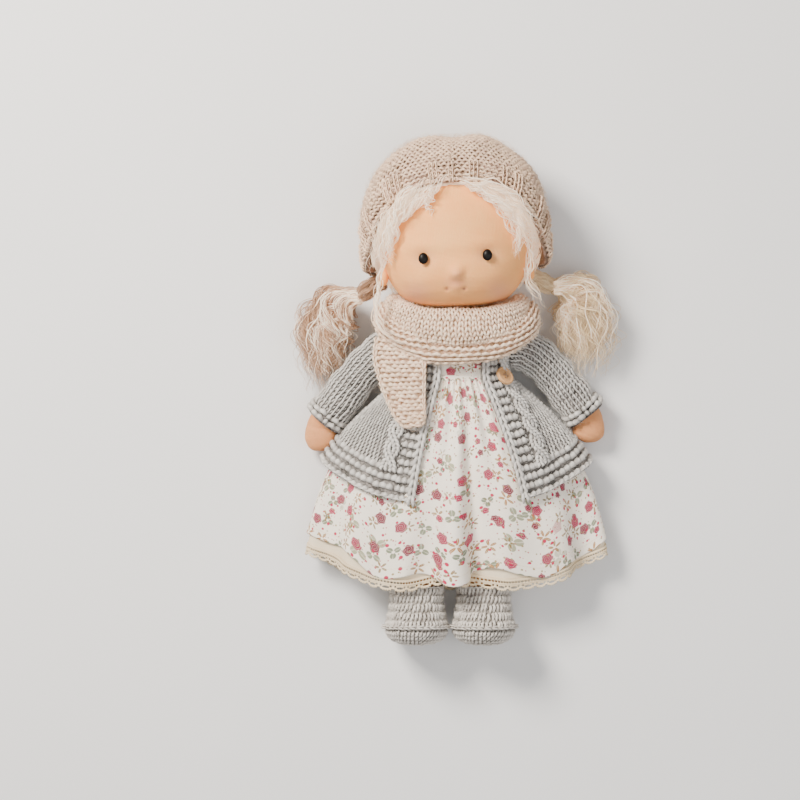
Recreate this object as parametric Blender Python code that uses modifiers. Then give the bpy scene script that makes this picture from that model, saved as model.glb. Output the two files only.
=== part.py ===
"""A dressed cloth doll, lying on its back.

Metres, +Z up. The head points along +Y and the face looks up along +Z. The origin is on
the flat back of the cardigan, which rests on the surface that the doll lies on.
Each piece is one object. The pieces of a body are parented to an empty on its joint.
"""
import math

import bmesh
import bpy
from mathutils import Matrix, Vector

COLLECTION = "waldorf_doll"

# Fits and cloths
FIT = 0.0003
LOOSE_FIT = 0.0009
JERSEY_WALL = 0.0011
COTTON_WALL = 0.001
KNIT_WALL = 0.0026
HAT_WALL = 0.0046
CROCHET_WALL = 0.0026
CUTTER_OVERRUN = 0.004

# Torso
TORSO_HALF_WIDTH = 0.04
TORSO_DEPTH = 0.054
TORSO_BACK_Z = 0.0070
SHOULDER_TOP_Y = 0.0515
WAIST_Y = 0.010
WAIST_SEAM = 0.0013
HIP_Y = -0.045
HIP_BALL_RINGS = 5
TORSO_SEGMENTS = 22
# Along the torso from the shoulders to the hips: way down, width, back and front of the depth
TORSO_SHARES = (
    (0.0, 0.30, 0.33, 0.75),
    (0.016, 0.50, 0.24, 0.83),
    (0.057, 0.72, 0.155, 0.895),
    (0.119, 0.875, 0.08, 0.95),
    (0.20, 0.93, 0.035, 0.98),
    (0.33, 0.94, 0.01, 0.99),
    (0.43, 0.93, 0.0, 0.99),
    (0.64, 0.95, 0.0, 0.99),
    (0.84, 0.99, 0.0, 1.0),
    (1.0, 1.0, 0.0, 1.0),
)

# Neck
NECK_BALL_RADIUS = 0.014
NECK_PLUG_RADIUS = 0.0088
NECK_X = 0.001
NECK_Z = 0.038
NECK_STRING_WIRE_RADIUS = 0.0007
NECK_STRING_DROP = 0.0025
NECK_SEGMENTS = 16
SOCKET_SEGMENTS = 28
STRING_SIDES = 6

# Head
HEAD_TILT_DEG = 2.6
HEAD_HALF_WIDTH = 0.060
HEAD_HEIGHT = 0.125
HEAD_DEPTH = 0.104
HEAD_BACK_Z = 0.0083
HEAD_BOTTOM_Y = 0.064
HEAD_SEGMENTS = 26
# From the neck opening to the crown: way up, width, back and front of the depth
HEAD_SHARES = (
    (0.0, 0.27, 0.127, 0.444),
    (0.015, 0.45, 0.11, 0.62),
    (0.05, 0.62, 0.085, 0.78),
    (0.11, 0.76, 0.06, 0.885),
    (0.185, 0.865, 0.035, 0.95),
    (0.231, 0.91, 0.025, 0.968),
    (0.28, 0.945, 0.015, 0.985),
    (0.37, 0.985, 0.003, 1.0),
    (0.46, 1.0, 0.0, 1.0),
    (0.56, 1.0, 0.0, 0.995),
    (0.65, 0.975, 0.012, 0.975),
    (0.74, 0.91, 0.04, 0.935),
    (0.82, 0.815, 0.085, 0.88),
    (0.89, 0.68, 0.15, 0.805),
    (0.945, 0.50, 0.235, 0.715),
    (0.98, 0.31, 0.33, 0.62),
    (1.0, 0.0, 0.475, 0.475),
)
HEAD_WIDEST_SHARE = 0.51
NOSE_SHARE = 0.231
NOSE_HEIGHT = 0.0042

# Eyes and ears
BEAD_SEGMENTS = 10
EYE_HALF_WIDTH = 0.0037
EYE_HALF_HEIGHT = 0.0043
EYE_HALF_DEPTH = 0.0019
EYE_SPACING = 0.0502
EYE_Y = 0.1062
EAR_HALF_DEPTH = 0.0052
EAR_HALF_HEIGHT = 0.0078
EAR_HALF_WIDTH = 0.0026
EAR_UP_SHARE = 0.235
EAR_ROUND_DEG = 84

# Hair. A cap's opening is a slope over the brow, by its height there and its run down the head.
HAIR_BACK_WALL = 0.0028
HAIR_SIDE_WALL = 0.0078
HAIR_BROW_Y = 0.1560
HAIR_OPENING_DEG = 50
HAIR_NAPE_SHARE = 0.15
BROW_Z = 0.103
FRINGE_HALF_WIDTH = 0.0085
FRINGE_HALF_WALL = 0.0031
FRINGE_SEGMENTS = 10
# Fringe lock from the parting to the cheek: way up the head and degrees round from the face
FRINGE_LEFT = ((0.705, 8), (0.690, 20), (0.630, 38), (0.532, 55), (0.43, 67), (0.33, 74), (0.28, 76))
FRINGE_RIGHT = ((0.710, 1), (0.680, 20), (0.630, 38), (0.532, 55), (0.43, 67), (0.34, 73))
FRINGE_WIDTH_SHARES = (0.55, 0.9, 1.0, 1.0, 0.9, 0.7, 0.35)

# Hat
HAT_BROW_Y = 0.1510
HAT_OPENING_DEG = 57
HAT_BACK_SHARE = 0.25

# Pigtails: the tie's path, then the bunch of curls. The bunch hinges on the tie's round end.
TIE_RADIUS = 0.0066
TIE_PATH = ((0.0560, 0.0885, 0.0470), (0.0640, 0.0860, 0.0440), (0.0755, 0.0785, 0.0385))
PIGTAILS = {
    "left": {
        "side": -1,
        "pivot": (-0.0755, 0.0785, 0.0385),
        "path": (
            (-0.0755, 0.0785, 0.0385), (-0.0870, 0.0765, 0.0310), (-0.0960, 0.0710, 0.0255),
            (-0.1025, 0.0600, 0.0225), (-0.1055, 0.0490, 0.0210), (-0.1062, 0.0385, 0.0195),
            (-0.1060, 0.0300, 0.0180),
        ),
        "radii": (0.0052, 0.0074, 0.0140, 0.0165, 0.0165, 0.0140, 0.0080),
    },
    "right": {
        "side": 1,
        "pivot": (0.0755, 0.0785, 0.0385),
        "path": (
            (0.0755, 0.0785, 0.0385), (0.0860, 0.0785, 0.0320), (0.0935, 0.0750, 0.0275),
            (0.0985, 0.0645, 0.0245), (0.1005, 0.0510, 0.0230), (0.1000, 0.0385, 0.0210),
            (0.0990, 0.0290, 0.0190),
        ),
        "radii": (0.0052, 0.0074, 0.0155, 0.0190, 0.0190, 0.0160, 0.0090),
    },
}
BUNCH_SEGMENTS = 12
HOLLOW_SEGMENTS = 16

# Scarf: two wraps round the neck and a hanging end
SCARF_AROUND = 28
SCARF_SEGMENTS = 10
SCARF_BACK_Z = 0.0098
SCARF_BACK_HALF_HEIGHT = 0.0085
SCARF_BACK_HALF_WALL = 0.0065
SCARF_SIDE_HALF_HEIGHT = 0.0105
SCARF_HALF_WALL = 0.0082
UPPER_WRAP_HALF_WIDTH = 0.049
UPPER_WRAP_FRONT_Y = 0.0500
UPPER_WRAP_SIDE_Y = 0.0665
UPPER_WRAP_BACK_Y = 0.0612
UPPER_WRAP_FRONT_Z = 0.0775
UPPER_WRAP_HALF_HEIGHT = 0.0132
LOWER_WRAP_HALF_WIDTH = 0.057
LOWER_WRAP_FRONT_Y = 0.0335
LOWER_WRAP_SIDE_Y = 0.0595
LOWER_WRAP_BACK_Y = 0.0605
LOWER_WRAP_FRONT_Z = 0.0725
LOWER_WRAP_HALF_HEIGHT = 0.0108
WRAP_MID_Z = 0.044
WRAP_RISE_POWER = 0.6
TAIL_HALF_WALL = 0.0026
# The hanging end's two edges, from under the wrap to the tip
TAIL_OUTER_EDGE = (
    (-0.0640, 0.0420, 0.0560), (-0.0650, 0.0250, 0.0560), (-0.0600, 0.0060, 0.0575),
    (-0.0530, -0.0120, 0.0610), (-0.0430, -0.0290, 0.0650),
)
TAIL_INNER_EDGE = (
    (-0.0240, 0.0380, 0.0705), (-0.0245, 0.0250, 0.0700), (-0.0250, 0.0060, 0.0700),
    (-0.0250, -0.0120, 0.0700), (-0.0240, -0.0260, 0.0700),
)

# Arms. The shoulder's axis is along X, and the root rings lie square to it.
SHOULDER_Y = 0.0345
ARM_ROOT_RADIUS = 0.0118
ARM_SEGMENTS = 16
ARM_CURVE_STEPS = 6
ARM_TAPER = 0.10
ARM_ROOT_SHARE = 0.33
HAND_HALF_WIDTH = 0.0128
HAND_HALF_DEPTH = 0.0098
HAND_TIP_SHARE = 0.72
HAND_TIP_DEPTH_SHARE = 0.88
SLEEVE_INNER_RADIUS = 0.0131
SLEEVE_BEND = 0.022
SLEEVE_REACH = 0.036
ARMS = {
    "left": {
        "side": -1,
        "cuff": (-0.1052, -0.0235, 0.0163),
        "elbow_way": (-0.62, -0.78, -0.10),
        "hand": ((-0.1072, -0.0326, 0.0155), (-0.1066, -0.0395, 0.0150)),
        "tip": (-0.1050, -0.0465, 0.0146),
    },
    "right": {
        "side": 1,
        "cuff": (0.1028, -0.0185, 0.0163),
        "elbow_way": (0.62, -0.78, -0.10),
        "hand": ((0.1044, -0.0292, 0.0155), (0.1034, -0.0335, 0.0150)),
        "tip": (0.1020, -0.0398, 0.0146),
    },
}

# Skirts: a waist ring that opens through a hip ring to a hem ring
SKIRT_SEGMENTS = 38
SKIRT_ROWS = 8
HIP_RING_HALF_WIDTH = 0.104
HIP_RING_FRONT_Y = -0.062
HIP_RING_SIDE_RISE = 0.022
HIP_RING_FRONT_Z = 0.072
HIP_RING_SIDE_Z = 0.014
HEM_HALF_WIDTH = 0.1155
HEM_FRONT_Y = -0.1455
HEM_SIDE_RISE = 0.036
HEM_FRONT_Z = 0.0555
HEM_SIDE_Z = 0.0095
HEM_BACK_Z = 0.0017
SKIRT_BACK_Z = 0.0036
FOLD_DEPTH = 0.0038
FOLD_COUNT = 10
FOLD_SIDE_SHARE = 0.2
FOLD_FRONT_GAIN = 2
FOLD_BACK_GAIN = 3
SIDE_POWER = 3
# The deep fold at the front: a crest and a valley beside it, as angles and their drift
CREST_HEIGHT = 0.0040
CREST_DEG = -3.2
CREST_DRIFT_DEG = 1.1
CREST_SPREAD_DEG = 4.9
VALLEY_DEPTH = 0.0075
VALLEY_DEG = 4.9
VALLEY_DRIFT_DEG = 2.6
VALLEY_SPREAD_DEG = 3.4
DEEP_FOLD_TOP_SHARE = 0.34
DEEP_FOLD_FULL_SHARE = 0.75
DEEP_FOLD_SEGMENT_DEGS = (-3.2, 2.0, 7.4)
SKIRT_SIDE_GROWTH = 3
PETTICOAT_TOP_ROW = 2
PETTICOAT_HEM_SHARE = 1.045
LACE_HEM_SHARE = 1.10
LACE_SEAM_SHARE = 0.013

# Cardigan
COLLAR_ROW = 2
ROW_SHARE_APART = 0.02
SLOPE_STEP = 0.01
CARDIGAN_FIRST_SEGMENT = 3
CARDIGAN_LAST_SEGMENT = 36
CARDIGAN_SKIRT_ROWS = 4
CARDIGAN_HEM_SHARE = 0.575
CARDIGAN_FRONT_DROP_SHARE = 0.07
BUTTON_STEPS = 18
BUTTON_RADIUS = 0.0076
BUTTON_RIM_WIDTH = 0.0019
BUTTON_HEIGHT = 0.0032
BUTTON_DISH_DEPTH = 0.0009
BUTTON_HOLE_RADIUS = 0.00085
HOLE_SEGMENTS = 8
BUTTON_HOLE_OFFSET = 0.0015
BUTTON_Y = 0.0105
BUTTON_X = 0.0345
BUTTON_LIFT = 0.0034
# Where the button's seat is looked for on the cardigan: shares down and angles from the front
SEAT_SHARES = tuple(part / 120 for part in range(40))
SEAT_DEGS = range(10, 90)
THREAD_RADIUS = 0.00042
THREAD_SEGMENTS = 8

# Legs and boots, one after the other down each leg
LEG_HIP_X = 0.0192
LEG_SEGMENTS = 14
THIGH_RADIUS = 0.0158
LEG_TAPER_SHARE = 0.16
LEG_DROP_POWER = 0.7
FOOT_SPREAD_SHARE = 0.3
LEG_TOP_Y = -0.050
ANKLE_Y = -0.168
LEG_BOTTOM_Y = -0.1845
LEG_BACK_Z = 0.0074
SPREAD_LIMIT_DEG = 8
SEAT_SEGMENTS = 24
BOOT_TOP_Y = -0.152
BOOT_RIDGE_Y = -0.1868
BOOT_BOTTOM_Y = -0.2005
BOOT_FOOT_HALF_WIDTH = 0.0247
BOOT_SHAFT_HALF_WIDTH = 0.0206
BOOT_SHAFT_FRONT_Z = 0.0425
BOOT_TOE_Z = 0.0640
BOOT_TOP_BACK_Z = 0.0050
BOOT_SEGMENTS = 18
LEGS = {
    "left": {"side": -1, "boot_x": -0.0318},
    "right": {"side": 1, "boot_x": 0.0212},
}
# Down a boot from its top to the ridge: way down, width, front and back from shaft to foot
BOOT_SHARES = (
    (0.0, 0.0, 0.0, 1.0),
    (0.30, 0.0, 0.03, 0.9),
    (0.52, 0.10, 0.22, 0.1),
    (0.72, 0.40, 0.62, -0.12),
    (0.88, 0.78, 0.92, -0.12),
    (1.0, 1.0, 1.0, -0.12),
)
# From the ridge to the middle of the sole: way down and size
SOLE_SHARES = ((0.0, 0.97), (0.30, 0.96), (0.62, 0.86), (0.86, 0.64), (1.0, 0.36))

LINEN = (0.86, 0.80, 0.70)
PEACH = (0.87, 0.62, 0.44)
WOOL_WHITE = (0.88, 0.85, 0.78)
HAIR_BLOND = (0.86, 0.75, 0.58)
OATMEAL = (0.62, 0.50, 0.38)
HEATHER_GREY = (0.47, 0.45, 0.43)
BOOT_GREY = (0.50, 0.48, 0.45)
DRESS_CREAM = (0.86, 0.78, 0.70)
LACE_CREAM = (0.80, 0.70, 0.55)
EYE_BLACK = (0.01, 0.008, 0.007)
BEECH = (0.66, 0.42, 0.25)
THREAD_BROWN = (0.35, 0.20, 0.12)


def clear_scene():
    for old in list(bpy.data.objects):
        bpy.data.objects.remove(old, do_unlink=True)


def make_collection(name):
    group = bpy.data.collections.new(name)
    bpy.context.scene.collection.children.link(group)
    return group


def material(name, colour, roughness, metallic=0.0):
    made = bpy.data.materials.new(name)
    made.use_nodes = True
    shader = made.node_tree.nodes["Principled BSDF"]
    shader.inputs["Base Color"].default_value = (*colour, 1.0)
    shader.inputs["Roughness"].default_value = roughness
    shader.inputs["Metallic"].default_value = metallic
    return made


def mix(low, high, share):
    return low + (high - low) * share


def read_table(table, share):
    """A row of a table of shares, read between its rows."""
    share = min(max(share, table[0][0]), table[-1][0])
    for low, high in zip(table, table[1:]):
        if share <= high[0]:
            way = (share - low[0]) / (high[0] - low[0])
            return [mix(a, b, way) for a, b in zip(low[1:], high[1:])]
    return list(table[-1][1:])


def oval(x_mid, y, half_width, z_low, z_high, segments, grow=0.0):
    """A ring square to Y that starts at the front and goes round by +X."""
    half_depth = (z_high - z_low) / 2
    z_mid = (z_high + z_low) / 2
    points = []
    for number in range(segments):
        angle = math.tau * number / segments
        x = x_mid + (half_width + grow) * math.sin(angle)
        points.append(Vector((x, y, z_mid + (half_depth + grow) * math.cos(angle))))
    return points


def tube_rings(path, halves, segments, first_along=None):
    """Rings square to a path. Each pair of halves is a ring's size up and sideways."""
    rings = []
    for number, centre in enumerate(path):
        before = path[max(number - 1, 0)]
        after = path[min(number + 1, len(path) - 1)]
        along = (after - before).normalized()
        if number == 0 and first_along is not None:
            along = first_along
        up = (Vector((0, 0, 1)) - along * along.z).normalized()
        side = up.cross(along)
        half_up, half_side = halves[number]
        ring = []
        for step in range(segments):
            angle = math.tau * step / segments
            ring.append(centre + up * half_up * math.cos(angle) + side * half_side * math.sin(angle))
        rings.append(ring)
    return rings


def loft(name, rings, first=None, last=None, closed=True, looped=False):
    """A mesh through rings. An end is open, flat, or drawn to a point."""
    mesh = bpy.data.meshes.new(name)
    shape = bmesh.new()
    rows = [[shape.verts.new(point) for point in ring] for ring in rings]
    pairs = list(zip(rows, rows[1:]))
    if looped:
        pairs.append((rows[-1], rows[0]))
    for upper, lower in pairs:
        count = len(upper)
        for number in range(count if closed else count - 1):
            after = (number + 1) % count
            shape.faces.new((upper[number], lower[number], lower[after], upper[after]))
    for end, row, flip in ((first, rows[0], False), (last, rows[-1], True)):
        if end is None:
            continue
        if end == "flat":
            shape.faces.new(row[::-1] if flip else row)
            continue
        tip = shape.verts.new(end)
        for number in range(len(row)):
            pair = (row[number], row[(number + 1) % len(row)])
            shape.faces.new((pair[1], pair[0], tip) if flip else (pair[0], pair[1], tip))
    shape.normal_update()
    shape.to_mesh(mesh)
    shape.free()
    return mesh


class Doll:
    """The collections, the empties of the bodies, and the way a piece joins them."""

    def __init__(self):
        self.parts = make_collection(COLLECTION)
        self.cutters = make_collection("cutters")
        self.empties = {}
        self.pivots = {}

    def body(self, name, pivot, parent=None, turn=0.0):
        empty = bpy.data.objects.new(f"{name}_joint", None)
        self.parts.objects.link(empty)
        empty.location = Vector(pivot)
        if parent:
            empty.parent = self.empties[parent]
            empty.location = Vector(pivot) - self.pivots[parent]
        empty.rotation_euler.z = turn
        self.empties[name] = empty
        self.pivots[name] = Vector(pivot)

    def piece(self, name, mesh, body, finish):
        """Link a mesh modelled in the upright frame, with its origin on its body's joint."""
        mesh.transform(Matrix.Translation(-self.pivots[body]))
        made = bpy.data.objects.new(name, mesh)
        self.parts.objects.link(made)
        made.parent = self.empties[body]
        mesh.materials.append(finish)
        mesh.shade_smooth()
        return made

    def cutter(self, name, mesh, body):
        mesh.transform(Matrix.Translation(-self.pivots[body]))
        made = bpy.data.objects.new(name, mesh)
        self.cutters.objects.link(made)
        made.parent = self.empties[body]
        made.hide_render = True
        made.display_type = "WIRE"
        return made


def wall(piece, thickness, outward=True):
    change = piece.modifiers.new("wall", "SOLIDIFY")
    change.thickness = thickness
    change.offset = 1.0 if outward else -1.0
    change.use_even_offset = True
    return change


def boolean(piece, other, operation="DIFFERENCE"):
    change = piece.modifiers.new(operation.lower(), "BOOLEAN")
    change.operation = operation
    change.solver = "EXACT"
    change.object = other


def box_mesh(name, low, high):
    shape = bmesh.new()
    bmesh.ops.create_cube(shape, size=1)
    middle = (Vector(low) + Vector(high)) / 2
    size = Vector(high) - Vector(low)
    bmesh.ops.scale(shape, vec=size, verts=shape.verts)
    bmesh.ops.translate(shape, vec=middle, verts=shape.verts)
    mesh = bpy.data.meshes.new(name)
    shape.to_mesh(mesh)
    shape.free()
    return mesh


def ball_mesh(name, middle, halves, segments, turn=None):
    shape = bmesh.new()
    bmesh.ops.create_uvsphere(shape, u_segments=segments, v_segments=segments // 2, radius=1)
    bmesh.ops.scale(shape, vec=halves, verts=shape.verts)
    if turn is not None:
        bmesh.ops.rotate(shape, cent=Vector((0, 0, 0)), matrix=turn, verts=shape.verts)
    bmesh.ops.translate(shape, vec=middle, verts=shape.verts)
    mesh = bpy.data.meshes.new(name)
    shape.to_mesh(mesh)
    shape.free()
    return mesh


def rod_mesh(name, start, end, radius, segments):
    """A cylinder between two points."""
    start = Vector(start)
    along = Vector(end) - start
    shape = bmesh.new()
    bmesh.ops.create_cone(
        shape, cap_ends=True, segments=segments, radius1=radius, radius2=radius, depth=along.length
    )
    turn = along.to_track_quat("Z", "Y").to_matrix()
    bmesh.ops.rotate(shape, cent=Vector((0, 0, 0)), matrix=turn, verts=shape.verts)
    bmesh.ops.translate(shape, vec=start + along / 2, verts=shape.verts)
    mesh = bpy.data.meshes.new(name)
    shape.to_mesh(mesh)
    shape.free()
    return mesh


def off_surface(place, way, angle, grow):
    """A point off a surface by a layer, and the surface's way out there."""
    step = SLOPE_STEP
    point = place(way, angle)
    across = place(way, angle + step) - place(way, angle - step)
    along = place(way + step, angle) - place(way - step, angle)
    outward = along.cross(across).normalized()
    return point + outward * grow, outward


def torso_place(down, angle):
    width, back, front = read_table(TORSO_SHARES, down)
    half = (front - back) * TORSO_DEPTH / 2
    middle = TORSO_BACK_Z + (front + back) * TORSO_DEPTH / 2
    y = mix(SHOULDER_TOP_Y, HIP_Y, down)
    return Vector((width * TORSO_HALF_WIDTH * math.sin(angle), y, middle + half * math.cos(angle)))


def torso_point(down, angle, grow):
    """A point of the torso, off its surface by a layer."""
    point, _ = off_surface(torso_place, down, angle, grow)
    if point.y > SHOULDER_TOP_Y:
        point.y = SHOULDER_TOP_Y
    return point


def torso_row(down, grow, segments=TORSO_SEGMENTS):
    return [torso_point(down, math.tau * number / segments, grow) for number in range(segments)]


def hip_centre():
    return Vector((0, HIP_Y, TORSO_BACK_Z + TORSO_DEPTH / 2))


def torso_rings(grow):
    """The whole torso, down to a seat that is round about the hip axis."""
    rings = [torso_row(row[0], grow) for row in TORSO_SHARES]
    radius = TORSO_DEPTH / 2
    middle = hip_centre()
    for number in range(1, HIP_BALL_RINGS):
        angle = math.pi / 2 * number / HIP_BALL_RINGS
        size = math.cos(angle)
        rings.append(
            oval(
                0.0,
                HIP_Y - (radius + grow) * math.sin(angle),
                (TORSO_HALF_WIDTH + grow) * size,
                middle.z - (radius + grow) * size,
                middle.z + (radius + grow) * size,
                TORSO_SEGMENTS,
            )
        )
    return rings, Vector((0, HIP_Y - radius - grow, middle.z))


def make_torso(doll, looks):
    rings, seat = torso_rings(0.0)
    skin = doll.piece("torso_skin", loft("torso_skin", rings, last=seat), "body", looks["linen"])
    wall(skin, JERSEY_WALL, outward=False)
    rings, seat = torso_rings(-JERSEY_WALL - LOOSE_FIT)
    z = hip_centre().z
    plug = oval(
        0.0, SHOULDER_TOP_Y, NECK_PLUG_RADIUS, z - NECK_PLUG_RADIUS, z + NECK_PLUG_RADIUS, TORSO_SEGMENTS
    )
    rings = [ring[::2] for ring in [plug] + rings]
    doll.piece(
        "torso_stuffing",
        loft("torso_stuffing", rings, first="flat", last=seat),
        "body",
        looks["wool"],
    )


def shoulder_bore(doll, name, radius):
    reach = LOWER_WRAP_HALF_WIDTH
    middle = hip_centre()
    start = (-reach, SHOULDER_Y, middle.z)
    end = (reach, SHOULDER_Y, middle.z)
    return doll.cutter(name, rod_mesh(name, start, end, radius, 2 * ARM_SEGMENTS), "body")


def waist_share(rise=0.0):
    return (SHOULDER_TOP_Y - WAIST_Y - rise) / (SHOULDER_TOP_Y - HIP_Y)


def collar_rows(last):
    """The torso's own rows from the collar down to a last one, so that layers lie parallel."""
    return [row[0] for row in TORSO_SHARES[COLLAR_ROW:] if row[0] < last - ROW_SHARE_APART] + [last]


def make_bodice(doll, looks, armhole):
    rings = [torso_row(down, FIT) for down in collar_rows(waist_share(WAIST_SEAM))]
    bodice = doll.piece("dress_bodice", loft("dress_bodice", rings), "body", looks["dress"])
    wall(bodice, COTTON_WALL)
    boolean(bodice, armhole)


def deep_fold(down, angle):
    """How far the deep front fold stands out of the skirts' form, or in below zero."""
    degrees = (math.degrees(angle) + 180) % 360 - 180
    crest = (degrees - CREST_DEG - CREST_DRIFT_DEG * down) / CREST_SPREAD_DEG
    valley = (degrees - VALLEY_DEG - VALLEY_DRIFT_DEG * down) / VALLEY_SPREAD_DEG
    size = CREST_HEIGHT * math.exp(-crest * crest) - VALLEY_DEPTH * math.exp(-valley * valley)
    growth = (down - DEEP_FOLD_TOP_SHARE) / (DEEP_FOLD_FULL_SHARE - DEEP_FOLD_TOP_SHARE)
    return size * min(1.0, max(0.0, growth))


def skirt_place(down, angle, grow=0.0):
    """A place on the skirts' common form, grown in height and more in width.

    The angle starts at the front and goes round by +X. Down is 0 at the waist and 1 at
    the dress's hem, along a curve through the waist, hip and hem rings.
    """
    sine, cosine = math.sin(angle), math.cos(angle)
    side = abs(sine) ** SIDE_POWER
    fold = FOLD_DEPTH * down * down * math.cos(FOLD_COUNT * angle)
    if cosine > 0:
        fold *= min(1.0, FOLD_SIDE_SHARE + FOLD_FRONT_GAIN * cosine)
    else:
        fold *= FOLD_SIDE_SHARE * max(0.0, 1 + FOLD_BACK_GAIN * cosine)
    fold += deep_fold(down, angle)
    width, _, high = read_table(TORSO_SHARES, waist_share())
    waist_front = TORSO_BACK_Z + high * TORSO_DEPTH + FIT
    waist_side = TORSO_BACK_Z + TORSO_DEPTH / 2
    rings = (
        (width * TORSO_HALF_WIDTH + FIT, WAIST_Y, waist_front, waist_side, SKIRT_BACK_Z),
        (
            HIP_RING_HALF_WIDTH,
            HIP_RING_FRONT_Y + HIP_RING_SIDE_RISE * side,
            HIP_RING_FRONT_Z,
            HIP_RING_SIDE_Z,
            SKIRT_BACK_Z,
        ),
        (HEM_HALF_WIDTH, HEM_FRONT_Y + HEM_SIDE_RISE * side, HEM_FRONT_Z, HEM_SIDE_Z, HEM_BACK_Z),
    )
    weights = ((1 - down) ** 2, 2 * down * (1 - down), down * down)
    point = Vector((0, 0, 0))
    for weight, (half_width, y, z_front, z_side, z_back) in zip(weights, rings):
        reach = z_front - z_side if cosine > 0 else z_side - z_back
        half_width += fold + SKIRT_SIDE_GROWTH * grow
        point += weight * Vector((half_width * sine, y, z_side + (reach + fold + grow) * cosine))
    return point


def skirt_point(angle, down, grow):
    """A point of the skirts, off their form by a layer. At the waist it clears both sides."""
    point, outward = off_surface(skirt_place, down, angle, grow)
    if down == 0:
        _, above = off_surface(torso_place, waist_share(), angle, 0.0)
        point = skirt_place(0.0, angle) + (above + outward) * grow / (1 + above.dot(outward))
    return point


def skirt_ring(down, grow=0.0):
    """A ring of the skirts, with places of its own on the deep fold."""
    angles = [math.radians(degrees) for degrees in DEEP_FOLD_SEGMENT_DEGS]
    angles += [math.tau * number / SKIRT_SEGMENTS for number in range(2, SKIRT_SEGMENTS)]
    return [skirt_place(down, angle, grow) for angle in angles]


def make_skirts(doll, looks):
    """The dress's skirt, the petticoat inside it, and the lace at the petticoat's hem."""
    rings = [skirt_ring(row / SKIRT_ROWS) for row in range(SKIRT_ROWS + 1)]
    skirt = doll.piece("dress_skirt", loft("dress_skirt", rings), "lap", looks["dress"])
    wall(skirt, COTTON_WALL)
    inner = -COTTON_WALL - LOOSE_FIT
    rings = [skirt_ring(row / SKIRT_ROWS, inner) for row in range(PETTICOAT_TOP_ROW, SKIRT_ROWS + 1)]
    rings.append(skirt_ring(PETTICOAT_HEM_SHARE, inner))
    petticoat = doll.piece("petticoat", loft("petticoat", rings), "lap", looks["petticoat"])
    wall(petticoat, COTTON_WALL)
    rings = [skirt_ring(down, inner) for down in (PETTICOAT_HEM_SHARE + LACE_SEAM_SHARE, LACE_HEM_SHARE)]
    lace = doll.piece("petticoat_lace", loft("petticoat_lace", rings), "lap", looks["lace"])
    wall(lace, COTTON_WALL)


def cardigan_grow():
    return COTTON_WALL + 3 * FIT


def cardigan_hem(angle):
    return CARDIGAN_HEM_SHARE + CARDIGAN_FRONT_DROP_SHARE * max(math.cos(angle), 0.0)


def make_cardigan(doll, looks, armhole, floor):
    segments = range(CARDIGAN_FIRST_SEGMENT, CARDIGAN_LAST_SEGMENT + 1)
    angles = [math.tau * number / SKIRT_SEGMENTS for number in segments]
    grow = FIT + cardigan_grow()
    rings = []
    for down in collar_rows(waist_share())[:-1]:
        rings.append([torso_point(down, angle, grow) for angle in angles])
    for row in range(CARDIGAN_SKIRT_ROWS + 1):
        rings.append([skirt_point(angle, row / SKIRT_ROWS, cardigan_grow()) for angle in angles])
    rings.append([skirt_point(angle, cardigan_hem(angle), cardigan_grow()) for angle in angles])
    mesh = loft("cardigan_body", rings, closed=False)
    cardigan = doll.piece("cardigan_body", mesh, "body", looks["cardigan"])
    wall(cardigan, KNIT_WALL)
    boolean(cardigan, armhole)
    boolean(cardigan, floor)


def cardigan_top(x, y):
    """The place on the cardigan's outside over a point of its right front, and its way out."""
    spots = [(share, math.radians(degrees)) for degrees in SEAT_DEGS for share in SEAT_SHARES]
    tops = [off_surface(skirt_place, *spot, cardigan_grow() + KNIT_WALL) for spot in spots]
    return min(tops, key=lambda top: math.hypot(top[0].x - x, top[0].y - y))


def make_button(doll, looks):
    middle, facing = cardigan_top(BUTTON_X, BUTTON_Y)
    doll.body("button", middle + facing * BUTTON_LIFT, "body")
    doll.empties["button"].rotation_euler = facing.to_track_quat("Z", "Y").to_euler()
    place = doll.pivots["button"]
    dish_radius = BUTTON_RADIUS - BUTTON_RIM_WIDTH
    dish_z = BUTTON_HEIGHT - BUTTON_DISH_DEPTH
    round_off = BUTTON_RIM_WIDTH / 3
    outline = (
        (0.0, dish_z),
        (dish_radius, dish_z),
        (dish_radius + round_off, BUTTON_HEIGHT),
        (BUTTON_RADIUS - round_off, BUTTON_HEIGHT),
        (BUTTON_RADIUS, BUTTON_HEIGHT - round_off),
        (BUTTON_RADIUS, round_off),
        (BUTTON_RADIUS - round_off, 0.0),
        (0.0, 0.0),
    )
    mesh = bpy.data.meshes.new("cardigan_button")
    shape = bmesh.new()
    dots = [shape.verts.new(place + Vector((x, 0, z))) for x, z in outline]
    for low, high in zip(dots, dots[1:]):
        shape.edges.new((low, high))
    shape.to_mesh(mesh)
    shape.free()
    button = doll.piece("cardigan_button", mesh, "button", looks["beech"])
    turned = button.modifiers.new("turned", "SCREW")
    turned.axis = "Z"
    turned.steps = BUTTON_STEPS
    turned.render_steps = BUTTON_STEPS
    turned.use_merge_vertices = True
    turned.merge_threshold = 0.0001
    corners = [(x, y) for x in (-1, 1) for y in (-1, 1)]
    for number, (x, y) in enumerate(corners):
        centre = place + Vector((x, y, 0)) * BUTTON_HOLE_OFFSET
        low = centre - Vector((0, 0, CUTTER_OVERRUN))
        high = centre + Vector((0, 0, BUTTON_HEIGHT + CUTTER_OVERRUN))
        name = f"button_hole_{number}"
        hole = doll.cutter(name, rod_mesh(name, low, high, BUTTON_HOLE_RADIUS, HOLE_SEGMENTS), "button")
        boolean(button, hole)
    make_thread(doll, looks, place, dish_z)


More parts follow.
